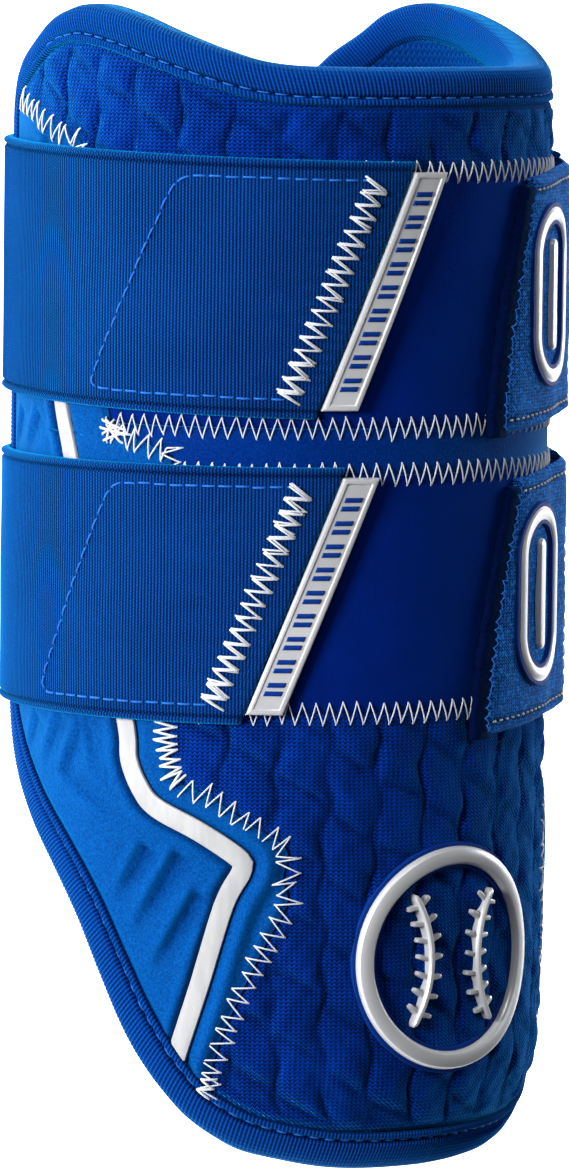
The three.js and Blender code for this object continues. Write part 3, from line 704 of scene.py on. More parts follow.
def knit_relief(wrap, height):
    """Pillowed columns between swaying upright grooves, with shallow slanted creases across them.
    Gives the lift, and painted shade from 0 to 1 in the grooves and creases, with a little painted shade and
    highlight from the puckers."""
    drift = 0.8 * np.sin(height / 19 + wrap / 27) + 0.45 * np.sin(height / 5.3 + wrap / 8.7)
    bend = np.sin(2 * math.pi * height / KNIT_ROW + 0.5 * np.sin(wrap / 14))
    sway = KNIT_SWAY * np.arcsin(0.95 * bend) / 1.25
    column = (wrap + sway + drift) / KNIT_COLUMN
    share = column - np.floor(column)
    groove = KNIT_COLUMN * np.minimum(share, 1 - share)
    line = (0.65 + 0.35 * np.sin(height / 4.7 + 2.1 * np.round(column))) * bell(groove, 0.58)
    stagger = 0.5 * (np.floor(column) % 2)
    row = height / KNIT_ROW + stagger + 0.42 * (share - 0.5) + 0.06 * np.sin(wrap / 5)
    inside = smooth(0.2, 2.2, groove)
    fold = inside * bell(KNIT_ROW * (row - np.round(row)), 1.0)
    lift = 0.3 * inside * np.sin(2 * math.pi * row) - 0.55 * fold - 0.7 * line - 0.45 * bell(groove, 2.2)
    lift += 0.2 * np.sin(wrap / 17 + 1) * np.sin(height / 21)
    pucker = np.sin(wrap + 1.6 * np.sin(height / 4.3)) * np.sin(height / 1.3 + 1.4 * np.sin(wrap / 3.7))
    return lift + 0.14 * pucker, np.clip(line + 0.45 * fold - 0.1 * pucker, -0.1, 1)


def tucked(wrap, height, tuck=0.75, reach=1.5):
    """How far the rim of a panel is pulled down by its seam, and the distance to the rim."""
    rim = rim_distance(wrap, height)
    return -tuck * (1 - smooth(0, reach, rim)), rim


def panel(name, wrap, height, lift, material, node, turn_in=0.0, sharp=50, shade=None):
    """A sheet of cloth on the padded wall."""
    piece = slab(name, wrap, height, -PANEL_THICKNESS, lift, material, [node], sharp=sharp, shade=shade)
    declare_sheet(wrap, height, turn_in=turn_in)


def knit_panel(place, wrap, height, low_ease, high_ease, shift=0.0):
    tuck, rim = tucked(wrap, height)
    relief_with_painted_shade, painted_shading = knit_relief(wrap, height + shift)
    ease = smooth(low_ease, high_ease, rim)
    # The knit's painted shade goes into the shading layer, eased off towards the rim.
    panel(f"knit_{place}_cloth", wrap, height, relief_with_painted_shade * ease + tuck, KNIT, f"knit_panel_{place}",
          shade=painted_shading * ease)


def front_rows(low, high, step):
    """A grid of places between the two side seams."""
    heights = np.linspace(low, high, max(3, round((high - low) / step)))
    edge = np.array([min(seam_wrap(h) - CLEARANCE, wrap_at(PAD_EDGE, h)) for h in heights])
    count = max(4, round(2 * edge.max() / step))
    share = np.linspace(-1, 1, count + 1)[:, None]
    return share * edge[None], np.broadcast_to(heights, (count + 1, len(heights)))


def make_knit_front():
    wrap, height = front_rows(PAD_EDGE[0, 1] + CLEARANCE, LOWER_LOOP_LOW - SEAM_GAP, KNIT_STEP)
    knit_panel("front", wrap, height, 0.3, 3.2)


def make_knit_top():
    wraps = np.linspace(-KNIT_TOP_REACH, KNIT_TOP_REACH, 360)
    floor, ceiling = [], []
    for w in np.abs(wraps):
        found = [h for h in crossings(SEAM_LINE, w, 0) if h > UPPER_LOOP_HIGH]
        floor.append(max([UPPER_LOOP_HIGH, *found]) + CLEARANCE)
        ceiling.append(crossings(PAD_EDGE, w, 0).max())
    share = np.linspace(0, 1, 36)
    floor, span = np.array(floor), np.array(ceiling) - floor
    keep = span > 0.6
    wrap = np.repeat(wraps[keep][:, None], len(share), 1)
    height = floor[keep][:, None] + span[keep][:, None] * share
    knit_panel("top", wrap, height, 0.2, 1.8, 4)


def make_front_band(name, low, high, material, node, step, swell, turn_in=0.0):
    wrap, height = front_rows(low + SEAM_GAP, high - SEAM_GAP, step)
    tuck, rim = tucked(wrap, height, 0.5, 1.2)
    waves = swell * np.sin(wrap / 11 + height / 15) * np.sin(height / 9 + 1)
    panel(name, wrap, height, waves * smooth(0, 4, rim) + tuck, material, node, turn_in)


def slot_relief(a, b, deep, wrap, height):
    """One moulded slot, a ramp on its right and a wall on its left that narrow to its lower end.
    Gives the lift, the shade, which is below 0 on the lit wall, and the shade's strength."""
    distance, side, run = nearest(straight(a, b), wrap, height)
    length = math.dist(a, b)
    fade = deep * smooth(0, 0.8, run) * (1 - smooth(0.3 * length, length, run) ** 1.6)
    ramp = np.clip(1 - distance / (SLOT_RAMP * (1 - 0.6 * np.clip(run / length, 0, 1))), 0, 1)
    wall = np.clip(1 - distance / SLOT_WALL, 0, 1)
    lift = np.where(side > 0, 0.35 * bell(distance - 1.6, 0.9) - wall, -ramp)
    shade = np.where(side > 0, -0.5 * bell(distance - 0.9, 0.8), 0.75 * ramp**1.5)
    return lift * fade, shade, 0.55 * fade


def side_relief(wrap, height):
    """Moulded form of a side panel: its stripe's channel, ridges beside it and slanted slots.
    Gives the lift, and painted shade from 0 to 1 in the stripe's channel and the slots, with painted
    highlight below 0 on the slots' lit walls."""
    distance, side, _ = nearest(STRIPE_TO_TAPE, wrap, height)
    from_edge = distance - STRIPE_WIDTH / 2
    front = np.where(side < 0, distance, np.inf)
    behind = np.where(side < 0, np.inf, distance)
    low_leg = 1 - smooth(64, 74, height)
    lift = -(STRIPE_DEPTH + CLEARANCE) * (1 - smooth(0.05, 0.75, from_edge))
    lift -= 0.35 * bell(front - 2.9, 0.8)
    lift += low_leg * (0.75 * bell(front - 5.0, 1.3) - 0.45 * bell(front - 7.6, 1.2))
    lift += 0.45 * bell(behind - 3.6, 1.2)
    # Painted shade along the stripe's channel, then painted shade in each slot and painted highlight on its
    # lit wall.
    painted_shading = 0.7 * (1 - smooth(0.2, 1.1, from_edge))
    for a, b, deep in SLOTS:
        slot_lift, shade, strength = slot_relief(a, b, deep, wrap, height)
        lift += slot_lift
        painted_shading = np.where(shade > 0, np.maximum(painted_shading, strength * shade), painted_shading + strength * shade)
    return lift, painted_shading


def make_side_panel(name, side):
    heights = np.linspace(SEAM_LINE[0, 1], SEAM_LINE[-1, 1], SIDE_ROWS)
    inner = np.array([seam_wrap(h) + CLEARANCE for h in heights])
    span = np.array([wrap_at(PAD_EDGE, h) for h in heights]) - inner
    keep = span > 0.8
    wrap = inner[keep] + span[keep] * np.linspace(0, 1, SIDE_COLUMNS)[:, None]
    height = np.broadcast_to(heights[keep], wrap.shape)
    lift, painted_shading = side_relief(wrap, height)
    lift = lift + tucked(wrap, height, 0.6, 1.4)[0]
    if side < 0:
        wrap, height, lift, painted_shading = -wrap[::-1], height[::-1], lift[::-1], painted_shading[::-1]
    panel(f"moulded_side_{name}", wrap, height, lift, STRETCH, f"side_panel_{name}",
          sharp=60, shade=painted_shading)


def strip_grid(line, shares, half):
    """A grid along a line of places, with columns at shares of its half width, right to left."""
    normal = sides_of(line)
    wrap = line[:, :1] + normal[:, :1] * half * shares
    height = line[:, 1:] + normal[:, 1:] * half * shares
    return wrap, height


def make_stripe(name, side):
    """A white strip down to the tape, where each of its columns ends."""
    shares = np.array([-1, -0.94, -0.8, -0.4, 0, 0.4, 0.8, 0.94, 1])
    crown = np.array([-0.3, -0.06, 0, 0.03, 0.04, 0.03, 0, -0.06, -0.3])
    wrap, height = strip_grid(mirrored(STRIPE_TO_TAPE, side), shares, STRIPE_WIDTH / 2)
    gap, inner, _ = nearest(PAD_EDGE, np.abs(wrap[-STRIPE_END_ROWS:]), height[-STRIPE_END_ROWS:])
    rows = np.arange(len(wrap))
    for k in range(len(shares)):
        past = np.flatnonzero((inner[:, k] < 0) | (gap[:, k] < 0.2))
        last = len(wrap) - STRIPE_END_ROWS + (past[0] if len(past) else STRIPE_END_ROWS - 1)
        shorter = rows * last / rows[-1]
        wrap[:, k] = np.interp(shorter, rows, wrap[:, k])
        height[:, k] = np.interp(shorter, rows, height[:, k])
    slab(f"white_stripe_{name}", wrap, height, -STRIPE_DEPTH, crown - STRIPE_RECESS, FILM,
         [f"side_stripe_{name}"])


def make_padded_wall():
    reach = PAD_EDGE[:, 0].max() - CLEARANCE
    wraps = reach * np.sin(np.linspace(-1, 1, 100) * math.pi / 2)
    share = np.linspace(0, 1, 76)
    spans = [crossings(PAD_EDGE, abs(w), 0) for w in wraps]
    bottom = np.array([found.min() for found in spans])[:, None]
    top = np.array([found.max() for found in spans])[:, None]
    height = bottom + (top - bottom) * share
    wrap = np.repeat(wraps[:, None], len(share), 1)
    quilt = 0.35 * np.sin(wrap / 13) * np.sin(height / 16)
    low = PAD_BOTTOM - 0.2 + (quilt + 0.5) * smooth(0, 8, rim_distance(wrap, height))
    high = -PANEL_THICKNESS - 0.2
    piece = slab("padded_wall", wrap, height, low, high, LINING, ["lining", "pad_core"])


make_padded_wall()
make_knit_front()
make_knit_top()
for side_name, bottom_seam, top_seam in (
    ("lower", LOWER_LOOP_LOW, LOWER_LOOP_HIGH), ("upper", UPPER_LOOP_LOW, UPPER_LOOP_HIGH),
):
    make_front_band(f"loop_field_{side_name}", bottom_seam, top_seam, LOOP,
                    f"loop_panel_{side_name}", LOOP_STEP, 0.12)
# The stretch band takes the darker copy of the stretch material, painted shade.
make_front_band("stretch_band", LOWER_LOOP_HIGH, UPPER_LOOP_LOW, SHADED_BAND_STRETCH, "mid_band",
                0.9, 0.1, 0.003)
for side_name, side_sign in (("left", -1), ("right", 1)):
    make_side_panel(side_name, side_sign)
    make_stripe(side_name, side_sign)


# Edge binding

BINDING_SEAM = 5.8


def outward(line):
    """Unit vectors out of a closed outline that runs up the right side."""
    along = unit_rows(np.roll(line, -1, axis=0) - np.roll(line, 1, axis=0))
    return np.stack([along[:, 1], -along[:, 0]], 1)


def make_binding():
    """A ribbed tape round the rim, with a stitched seam and a rolled ridge on its inner side."""
    low = PAD_BOTTOM - BINDING_RISE
    high = BINDING_RISE
    profile = [
        (7.4, low + 0.6), (6.4, low), (4.0, low - 0.1), (2.0, low + 0.1), (0.8, low + 0.8), (0.1, low + 2.2),
        (0, low + 4), (0, high - 3.6), (0.1, high - 2.2), (0.8, high - 0.7), (2.0, high + 0.02),
        (3.6, high + 0.1),
        (4.9, high), (5.3, high - 0.3), (BINDING_SEAM - 0.2, high - 1.0), (BINDING_SEAM + 0.1, high - 0.95),
        (6.25, high - 0.1), (6.7, high + 0.05), (7.1, high - 0.1), (7.4, high - 0.75), (7.45, high - 1.6),
        (7.9, high - 2.2), (7.9, low + 1.0),
    ]
    total = run_along(np.vstack([HALF_OUTLINE, HALF_OUTLINE[::-1] * (-1, 1)]))[-1]
    stations = round(total / BINDING_RIB) * 3
    run = np.arange(stations) * total / stations
    rib = 0.13 * np.cos(2 * math.pi * run / BINDING_RIB)
    rim = whole_outline(0, stations)
    wide = (0.6 + 0.8 * smooth(38, 52, np.abs(rim[:, 0]))) * (1 - smooth(88, 112, rim[:, 1]))
    rings, places, painted_shading = [], [], []
    for inset, lift in profile:
        line = whole_outline(inset, stations)
        line = line + outward(line) * (wide * max(0, 1 - inset / 7.4))[:, None]
        ribbed = lift + (rib if 0.5 < inset < 7.2 and lift > -0.8 else 0)
        rings.append(on_sleeve(*line.T, ribbed))
        places.append(np.column_stack([run, np.full(stations, inset)]))
        # Painted shade at the seam groove and under the tape's inner rim.
        painted_shading.append(np.full(stations, 1.0 if abs(inset - BINDING_SEAM) < 0.3 or inset > 7.3 else 0.0))
    i, j = cells(len(profile), stations)
    below, onward = (i + 1) % len(profile), (j + 1) % stations
    corners = [i * stations + j, i * stations + onward, below * stations + onward, below * stations + j]
    faces = np.stack(corners, 1)
    piece = add_piece("edge_tape", np.concatenate(rings), faces.tolist(), BINDING,
                      ["edge_binding"], np.concatenate(places), 70, np.concatenate(painted_shading))
    seam = whole_outline(BINDING_SEAM, 900)
    dashes = running(np.vstack([seam, seam[:1]]), 2.3, 1.3, BINDING_RISE - 0.8, 0.32)
    tubes("edge_stitches", dashes, 0.17, BLUE_THREAD)


make_binding()


# Straps, pull tabs, anchor tabs and badges

STRAP_SEAM_START = 6.8
STRAP_SEAM_END = 46.0
STRAP_SEAM_SHARE = 0.075
TACK_PITCH = 2.75
GRIP_BARS = 18
GRIP_HALF = 0.0105
HEM_PITCH = 2.1
HOOK_LOW = -0.012
HOOK_HIGH = 0.985
BADGE_RADIUS = 10.0
BADGE_BAND = 3.0
BADGE_WRAP = 20.0


def folded_back(wrap):
    """Wraps past the middle of the back, counted from the front again."""
    return np.where(wrap > HALF_LOOP, 2 * HALF_LOOP - wrap, wrap)


def strap_rise(strap, wrap):
    return strap["rise"] * (1 - np.cos(np.minimum(folded_back(np.abs(wrap)) / PAD_RADIUS, math.pi)))


def front_end(strap, share):
    return 2 * HALF_LOOP + strap["end"] - STRAP_END_SLANT * (1 - share)


def strap_foot(strap):
    return strap["middle"] - STRAP_WIDTH / 2


def make_strap(name, strap):
    edge = np.array([0, 0.25, 0.6, 1.0, 1.4, 1.7, 2.1])
    inner = np.arange(strap["tab"] + TAB_WRAP - TAB_LAP, front_end(strap, 0) - 14, RIB_PITCH / 3)
    share = np.concatenate([edge / STRAP_WIDTH, np.linspace(0.07, 0.93, 8), 1 - edge[::-1] / STRAP_WIDTH])
    last = inner[-1] + (front_end(strap, share) - inner[-1]) * np.linspace(0, 1, 100)[1:, None]
    wrap = np.vstack([np.repeat(inner[:, None], len(share), 1), last])
    height = strap_foot(strap) + share * STRAP_WIDTH + strap_rise(strap, wrap)
    across = np.minimum(share, 1 - share) * STRAP_WIDTH
    selvage = np.interp(across, edge, [-0.8, -0.2, 0.12, 0.08, -0.4, -0.36, 0])
    curved = 1 - smooth(HALF_WRAP - 6, HALF_WRAP + 2, folded_back(wrap))
    rib = 0.085 * np.cos(2 * math.pi * wrap / RIB_PITCH) * curved
    end_gap = front_end(strap, share) - wrap
    ease = 0.22 * np.sin(wrap / 19 + height / 13) * np.sin(height / 8) * curved
    lift = STRAP_TOP - 0.14 + selvage + rib * np.where(across > 1.6, 1, 0.5)
    lift += ease * smooth(0, 12, end_gap) * (across > 2) - 0.5 * (1 - smooth(0, 0.8, end_gap))
    # Painted shade in the selvage grooves goes into the shading layer.
    piece = slab(f"{name}_webbing", wrap, height, STRAP_LIFT, lift, WEBBING, [f"{name}_strap"],
                 sharp=70, shade=bell(across - 1.6, 0.35))
    sew_strap(name, strap)


def strap_line(strap, corners):
    """A line on a strap through corners of wrap and share of the strap's width."""
    return straight(*[
        (wrap, strap_foot(strap) + share * STRAP_WIDTH + strap_rise(strap, wrap)) for wrap, share in corners
    ])


def sew_strap(name, strap):
    """A blue running stitch round the doubled end, and a heavy white zigzag beside the pull tab."""
    bottom, top = STRAP_SEAM_SHARE, 1 - STRAP_SEAM_SHARE
    near = strap["end"] - STRAP_SEAM_START
    far = strap["end"] - STRAP_SEAM_END
    head = near - STRAP_END_SLANT * (1 - top), top
    foot = near - STRAP_END_SLANT * (1 - bottom), bottom
    outline = strap_line(strap, [head, (far, top), (far - STRAP_END_SLANT, bottom), foot])
    blue = running(rounded(outline, 5), 2.3, 0.9, STRAP_TOP - 0.03, 0.22)
    tubes(f"{name}_strap_stitches", blue, 0.21, BLUE_THREAD)
    line = strap_line(strap, [head, foot])
    white = zigzag(line, TACK_PITCH, 2.2, STRAP_TOP + 0.06, 0.16, 0.42)
    white += zigzag(line, TACK_PITCH, 2.15, STRAP_TOP + 0.14, 0.16, 0.48, 0.3)
    for part in (line[:13], line[-14:]):
        white += zigzag(part, TACK_PITCH, 2.1, STRAP_TOP + 0.3, 0.15, 0.5, 0.6)
    tubes(f"{name}_strap_tack", white, 0.21, WHITE_THREAD)


def pull_tab_grid(strap, across, shares):
    from_foot = PULL_TAB_INSET + shares * (STRAP_WIDTH - 2 * PULL_TAB_INSET)
    start = front_end(strap, from_foot / STRAP_WIDTH) + CLEARANCE
    wrap = start[None] + across[:, None] * PULL_TAB_WIDTH
    return wrap, np.broadcast_to(strap_foot(strap) + from_foot, wrap.shape)


def both_ways(across, shares, across_steps, share_steps, values):
    """The lower of two profiles, one across a strip and one along it."""
    crosswise = np.interp(across, across_steps, values)[:, None]
    return np.minimum(crosswise, np.interp(shares, share_steps, values)[None])


def make_pull_tab(name, strap):
    """A pale moulded strip with a raised frame and a row of small blue grip bars."""
    top = STRAP_LIFT + PULL_TAB_THICKNESS - CLEARANCE
    side = np.array([0, 0.03, 0.07, 0.105, 0.135, 0.17])
    edge = np.array([0, 0.004, 0.010, 0.016, 0.021, 0.027])
    across = np.concatenate([side, [0.5], 1 - side[::-1]])
    shares = np.concatenate([edge, np.linspace(0.04, 0.96, 34), 1 - edge[::-1]])
    wrap, height = pull_tab_grid(strap, across, shares)
    from_side, from_edge = np.minimum(across, 1 - across), np.minimum(shares, 1 - shares)
    rim = both_ways(from_side, from_edge, side[:3], edge[:3], [-0.5, -0.1, 0])
    step = np.maximum(
        np.interp(from_side, side[3:], [0, -0.25, -0.3])[:, None],
        np.interp(from_edge, edge[3:], [0, -0.25, -0.3])[None],
    )
    lift = top + np.where(step > -0.26, rim, np.minimum(rim, -0.3))
    slab(f"{name}_pull_strip", wrap, height, CLEARANCE, lift, RUBBER, [f"{name}_pull_tab"],
         sharp=35)
    wide = np.array([0.26, 0.29, 0.34, 0.5, 0.66, 0.71, 0.74])
    along = np.array([-1, -0.86, -0.5, 0, 0.5, 0.86, 1]) * GRIP_HALF
    dome = both_ways(wide, along, wide[[0, 1, 5, 6]], [-GRIP_HALF, -0.007, 0.007, GRIP_HALF], [0, 1, 1, 0])
    for k in range(GRIP_BARS):
        middle = 0.11 + 0.78 * (k // 2) / (GRIP_BARS // 2 - 1) + 0.018 * (2 * (k % 2) - 1)
        wrap, height = pull_tab_grid(strap, wide, middle + along)
        slab(f"{name}_grip_bar_{k + 1}", wrap, height, top - 0.6, top - 0.28 + 0.33 * dome, NAVY_RUBBER)


def tab_lifts(strap, wrap):
    """Inner and outer lift of an anchor tab, which climbs over the strap's fixed end."""
    start = strap["tab"] + TAB_WRAP - TAB_LAP
    under = TAB_LIFT + (STRAP_TOP + CLEARANCE - TAB_LIFT) * smooth(start - 14, start - CLEARANCE, wrap)
    return under, under + strap["thick"]


def tab_place(strap, across, share):
    edge = strap["tab"] + TAB_EDGE_LEAN * share**1.6
    wrap = edge + (strap["tab"] + TAB_WRAP - edge) * across
    return wrap, strap_foot(strap) - TAB_DROOP * (1 - across) + share * STRAP_WIDTH


def tab_surface(strap, across, share):
    """Outer lift of an anchor tab: soft puckers, and rounded rims."""
    wrap, height = tab_place(strap, across, share)
    from_left = across * (TAB_WRAP - TAB_EDGE_LEAN * share**1.6)
    from_right = (1 - across) * TAB_WRAP
    from_ends = np.minimum(share, 1 - share) * STRAP_WIDTH
    fold = -1.5 * np.sqrt(np.clip(1 - from_left / 1.7, 0, 1) ** 3)
    hem = -1.3 * (1 - smooth(0, 1.1, from_ends)) - 0.3 * bell(from_ends - 2.6, 0.5)
    puff = 0.35 * bell(from_left - 4, 4) + 0.16 * np.sin(height / 3.1 + wrap / 6) * np.sin(wrap / 4.3)
    tail = -1.2 * (1 - smooth(0, 1.2, from_right))
    edges = (puff + tail) * smooth(0, 2, from_ends) + tail * (from_ends < 2)
    return tab_lifts(strap, wrap)[1] - 0.3 + fold + hem + edges


def make_hook_pad(name, strap):
    """The dark gripping layer under an anchor tab, which stands out along its free edge; its near-black
    colour is also painted shadow under the tab's lifted edge.
    """
    across = np.array([-2.7, -2.62, -2.3, -1.6, -0.8, 0, 1.2, 2.4, 2.6])[:, None]
    share = np.linspace(HOOK_LOW, HOOK_HIGH, 70)
    edge, height = tab_place(strap, 0, share)
    ragged = 0.16 * np.sin(share * 53) + 0.12 * np.sin(share * 121 + 1)
    wrap = edge[None] + across + ragged * (across < 0)
    dome = np.array([-1.0, -0.35, -0.05, 0.15, 0.2, 0.1, -0.1, -0.4, -0.5])[:, None]
    ends = -0.9 * (1 - smooth(0, 0.02, np.minimum(share - HOOK_LOW, HOOK_HIGH - share)))
    lift = strap["thick"] + 0.15 + dome + ends + 0.12 * np.sin(share * 40)
    height = np.broadcast_to(height, wrap.shape) - 0.6
    piece = slab(f"{name}_hook_pad_and_shadow", wrap, height, CLEARANCE, lift, HOOK_AND_SHADOW, sharp=60)


def make_anchor_tab(name, strap):
    across = np.concatenate([np.linspace(0, 0.05, 8), np.linspace(0.06, 0.97, 70), np.linspace(0.98, 1, 4)])
    middle = np.linspace(0.075, 0.925, 56)
    share = np.concatenate([np.linspace(0, 0.06, 10), middle, np.linspace(0.94, 1, 10)])
    across, share = np.broadcast_arrays(across[:, None], share)
    ragged = 0.005 * np.sin(share * 31) + 0.004 * np.sin(share * 13 + 2)
    across = across + ragged * (1 - across) * (across < 0.5)
    wrap, height = tab_place(strap, np.maximum(across, 0), share)
    lift = tab_surface(strap, np.maximum(across, 0), share)
    under = tab_lifts(strap, wrap)[0] + 0.5 * (across < 0.03) * (1 - smooth(0, 0.03, across))
    # Painted shade in the hem grooves near both ends of the tab.
    painted_shading = 0.8 * bell(np.minimum(share, 1 - share) * STRAP_WIDTH - 2.6, 0.5)
    piece = slab(f"{name}_anchor_cloth", wrap, height, under, lift, TAB_KNIT,
                 [f"{name}_anchor_tab"], sharp=70, shade=painted_shading)
    declare_sheet(wrap, height)
    make_hook_pad(name, strap)
    sew_tab(name, strap)


def tab_line(strap, across, share):
    """A line on an anchor tab's face, as wraps, heights and lifts."""
    across, share = np.broadcast_arrays(np.asarray(across, float), share)
    rows = [*tab_place(strap, across, share), tab_surface(strap, across, share)]
    return even_steps(np.column_stack(rows), 120)


def sew_tab(name, strap):
    """Short hem stitches, a light stitch on the free edge and two zigzags over the strap's fixed end."""
    dots = []
    for share in (0.052, 0.948):
        line = tab_line(strap, np.linspace(0.03, 0.96, 40), share)
        run = run_along(line)
        for start in np.arange(1, run[-1] - 1, HEM_PITCH):
            path = pick_rows(start + np.array([0, 0.14, 0.4, 0.66, 0.8]), run, line)
            path[:, 2] += [-0.25, 0.06, 0.14, 0.06, -0.25]
            dots.append(path)
    tubes(f"{name}_hem_stitches", dots, 0.25, WHITE_THREAD)
    edge = tab_line(strap, 0.012, np.linspace(0.02, 0.98, 40))[:, :2]
    tufts = zigzag(edge, 1.9, 0.4, strap["thick"] + 0.42, 0.24, 0.25)
    tubes(f"{name}_edge_stitches", tufts, 0.12, PALE_THREAD)
    sewn = []
    for across in (0.80, 0.95):
        line = tab_line(strap, across, np.linspace(0.06, 0.94, 40))
        sewn += zigzag(line[:, :2], 2.8, 1.6, float(line[:, 2].mean()) + 0.05, 0.1, 0.35)
    tubes(f"{name}_anchor_tack", sewn, 0.27, WHITE_THREAD)


def ring(name, middle, radii, rise, material, replaces=(), steps=96, straight_half=0.0, base=0.0, sink=0.7,
         sharp=40):
    """A raised ring round a middle, stretched out along the arm by straight_half each way."""
    angles = np.linspace(0, 2 * math.pi, steps, endpoint=False)[:, None]
    wrap = middle[0] + np.cos(angles) * radii
    height = middle[1] + np.sign(np.round(np.sin(angles), 6)) * straight_half + np.sin(angles) * radii
    lift = base(wrap) if callable(base) else base
    slab(name, wrap, height, lift - sink, lift + np.array(rise), material, replaces, True,
         sharp)


def skirt(outer, band, margin):
    """Radii of a low base that stands out on both sides of a ring's band."""
    inner = outer - band
    return np.array([outer + margin, outer + margin - 0.15, inner - margin + 0.15, inner - margin])


def make_badge(name, strap):
    """A raised pale ring on a dark base, along the arm, with a slender bar in its middle."""
    middle = strap["tab"] + BADGE_WRAP, strap["middle"] - TAB_DROOP / 2
    edge = np.array([0, 0.25, 0.8])
    band = BADGE_RADIUS - np.concatenate([edge, [BADGE_BAND / 2], BADGE_BAND - edge[::-1]])

    def face(wrap):
        return tab_lifts(strap, wrap)[1]

    ring(f"{name}_badge_base", middle, skirt(BADGE_RADIUS, BADGE_BAND, 0.7), [0.1, 0.55, 0.55, 0.1],
         NAVY_RUBBER, straight_half=7.5, base=face)
    ring(f"{name}_badge_ring", middle, band, [0.2, 0.6, 0.9, 1.0, 0.9, 0.6, 0.2], RUBBER, [f"{name}_badge"],
         straight_half=7.5, base=face)
    ring(f"{name}_badge_bar", middle, np.array([1.5, 1.38, 1.1, 0.5, 0.02]), [0.1, 0.5, 0.7, 0.75, 0.75],
         RUBBER, steps=64, straight_half=9.5, base=face)


for strap_name, strap_row in STRAPS.items():
    make_strap(strap_name, strap_row)
    make_pull_tab(strap_name, strap_row)
    make_anchor_tab(strap_name, strap_row)
    make_badge(strap_name, strap_row)


# Emblem: a raised ball with two bowed seams

EMBLEM_MIDDLE = EMBLEM_WRAP, EMBLEM_HEIGHT
EMBLEM_TOP = CLEARANCE + EMBLEM_THICKNESS
SEAM_BOW = EMBLEM_RADIUS * 1.05
SEAM_HALF = math.asin((EMBLEM_RADIUS - EMBLEM_BAND - EMBLEM_SEAM_WIDTH) * 0.82 / SEAM_BOW)
SEAM_BARS = 7


def ball_seam(side, turn):
    """Places on a bowed seam of the ball, by the turn round its centre."""
    wrap = EMBLEM_WRAP + side * (EMBLEM_RADIUS * 1.32 - SEAM_BOW * np.cos(turn))
    return np.stack([wrap, EMBLEM_HEIGHT - side * SEAM_BOW * np.sin(turn)], -1)


def make_emblem():
    edge = np.array([0, 0.12, 0.5, 0.62])
    band = np.concatenate([edge, [EMBLEM_BAND / 2], EMBLEM_BAND - edge[::-1]])
    rise = EMBLEM_TOP + np.array([-1.1, -0.6, -0.06, 0, 0.04, 0, -0.06, -0.6, -1.1])
    ring("ball_ring", EMBLEM_MIDDLE, EMBLEM_RADIUS - band, rise, RUBBER, ["emblem_ring"], 140, sink=0.9,
         sharp=35)
    ring("ball_ring_base", EMBLEM_MIDDLE, skirt(EMBLEM_RADIUS, EMBLEM_BAND, 0.8), [0.1, 0.45, 0.45, 0.1],
         NAVY_RUBBER, steps=140, sink=0.9)
    turn = np.linspace(-SEAM_HALF, SEAM_HALF, 60)
    taper = np.sqrt(np.clip(1 - (turn / SEAM_HALF) ** 30, 0.1, 1))[:, None]
    shares = np.array([-1, -0.8, -0.4, 0, 0.4, 0.8, 1])
    crown = np.array([-0.9, -0.3, 0, 0.05, 0, -0.3, -0.9])
    for name, side in (("left", -1), ("right", 1)):
        wrap, height = strip_grid(ball_seam(side, turn), shares * taper, EMBLEM_SEAM_WIDTH * 0.27)
        lift = EMBLEM_TOP - 0.1 + crown - 0.6 * (1 - taper)
        slab(f"ball_seam_{name}", wrap, height, -0.9, lift, RUBBER, [f"emblem_seam_{name}"],
             sharp=35)
        make_seam_bars(name, side)


def make_seam_bars(name, side):
    """Short crossing bars along a seam of the ball."""
    shares = np.array([-1, -0.75, 0, 0.75, 1])
    thick = np.sqrt(1 - (np.linspace(0, 0.96, 9) ** 16))[:, None]
    lift = 1.1 + np.array([-0.5, -0.06, 0, -0.06, -0.5]) - 0.4 * (1 - thick)
    for k, turn in enumerate(np.linspace(-0.8, 0.8, SEAM_BARS) * SEAM_HALF):
        start = ball_seam(side, turn)
        out = -side * np.array([math.cos(turn), math.sin(turn)])
        up = side * np.array([out[1], -out[0]])
        for way in (-1, 1):
            line = np.linspace(start, start + way * 2.7 * out + 0.8 * up, 9)
            wrap, height = strip_grid(line, shares * thick, 0.52)
            slab(f"ball_tick_{name}_{2 * k + (way > 0) + 1}", wrap, height, -0.6, lift, RUBBER,
                 sharp=40)


make_emblem()


# Zigzag seams of the pad

SEAM_CORNER = 76.6
SEAM_FOOT = 14.8
SEAM_REACH = 112
SEAM_LIFT = 0.02
KNOT_STROKES = [
    ((2.4, 2.2), (-3.6, 0.3)), ((3.0, 0.6), (-4.6, -0.6)), ((2.0, -2.1), (-3.4, -0.2)),
    ((-0.6, 2.1), (0.9, -2.5)), ((1.2, 1.6), (-3.0, -2.4)), ((2.2, -0.9), (-2.0, 1.3)),
    ((1.4, 2.5), (-3.4, -0.9)),
]


def seam_part(low, high, side):
    """The side seam between two heights."""
    inside = (SEAM_LINE[:, 1] >= low) & (SEAM_LINE[:, 1] <= high)
    return mirrored(SEAM_LINE[inside], side)


def knot(side):
    """Heavy crossing stitches at the corner of the stretch band."""
    middle = np.array([side * (seam_wrap(UPPER_LOOP_LOW - 1.5) + 0.6), UPPER_LOOP_LOW - 1.6])
    share = np.array([0.0, 0.12, 0.5, 0.88, 1.0])[:, None]
    height = SEAM_LIFT + 0.25 + np.array([-0.6, 0.1, 0.25, 0.1, -0.6])
    paths = []
    for stroke in KNOT_STROKES:
        start, end = middle + np.multiply(stroke, (side, 1))
        paths.append(np.column_stack([start + (end - start) * share, height]))
    return paths


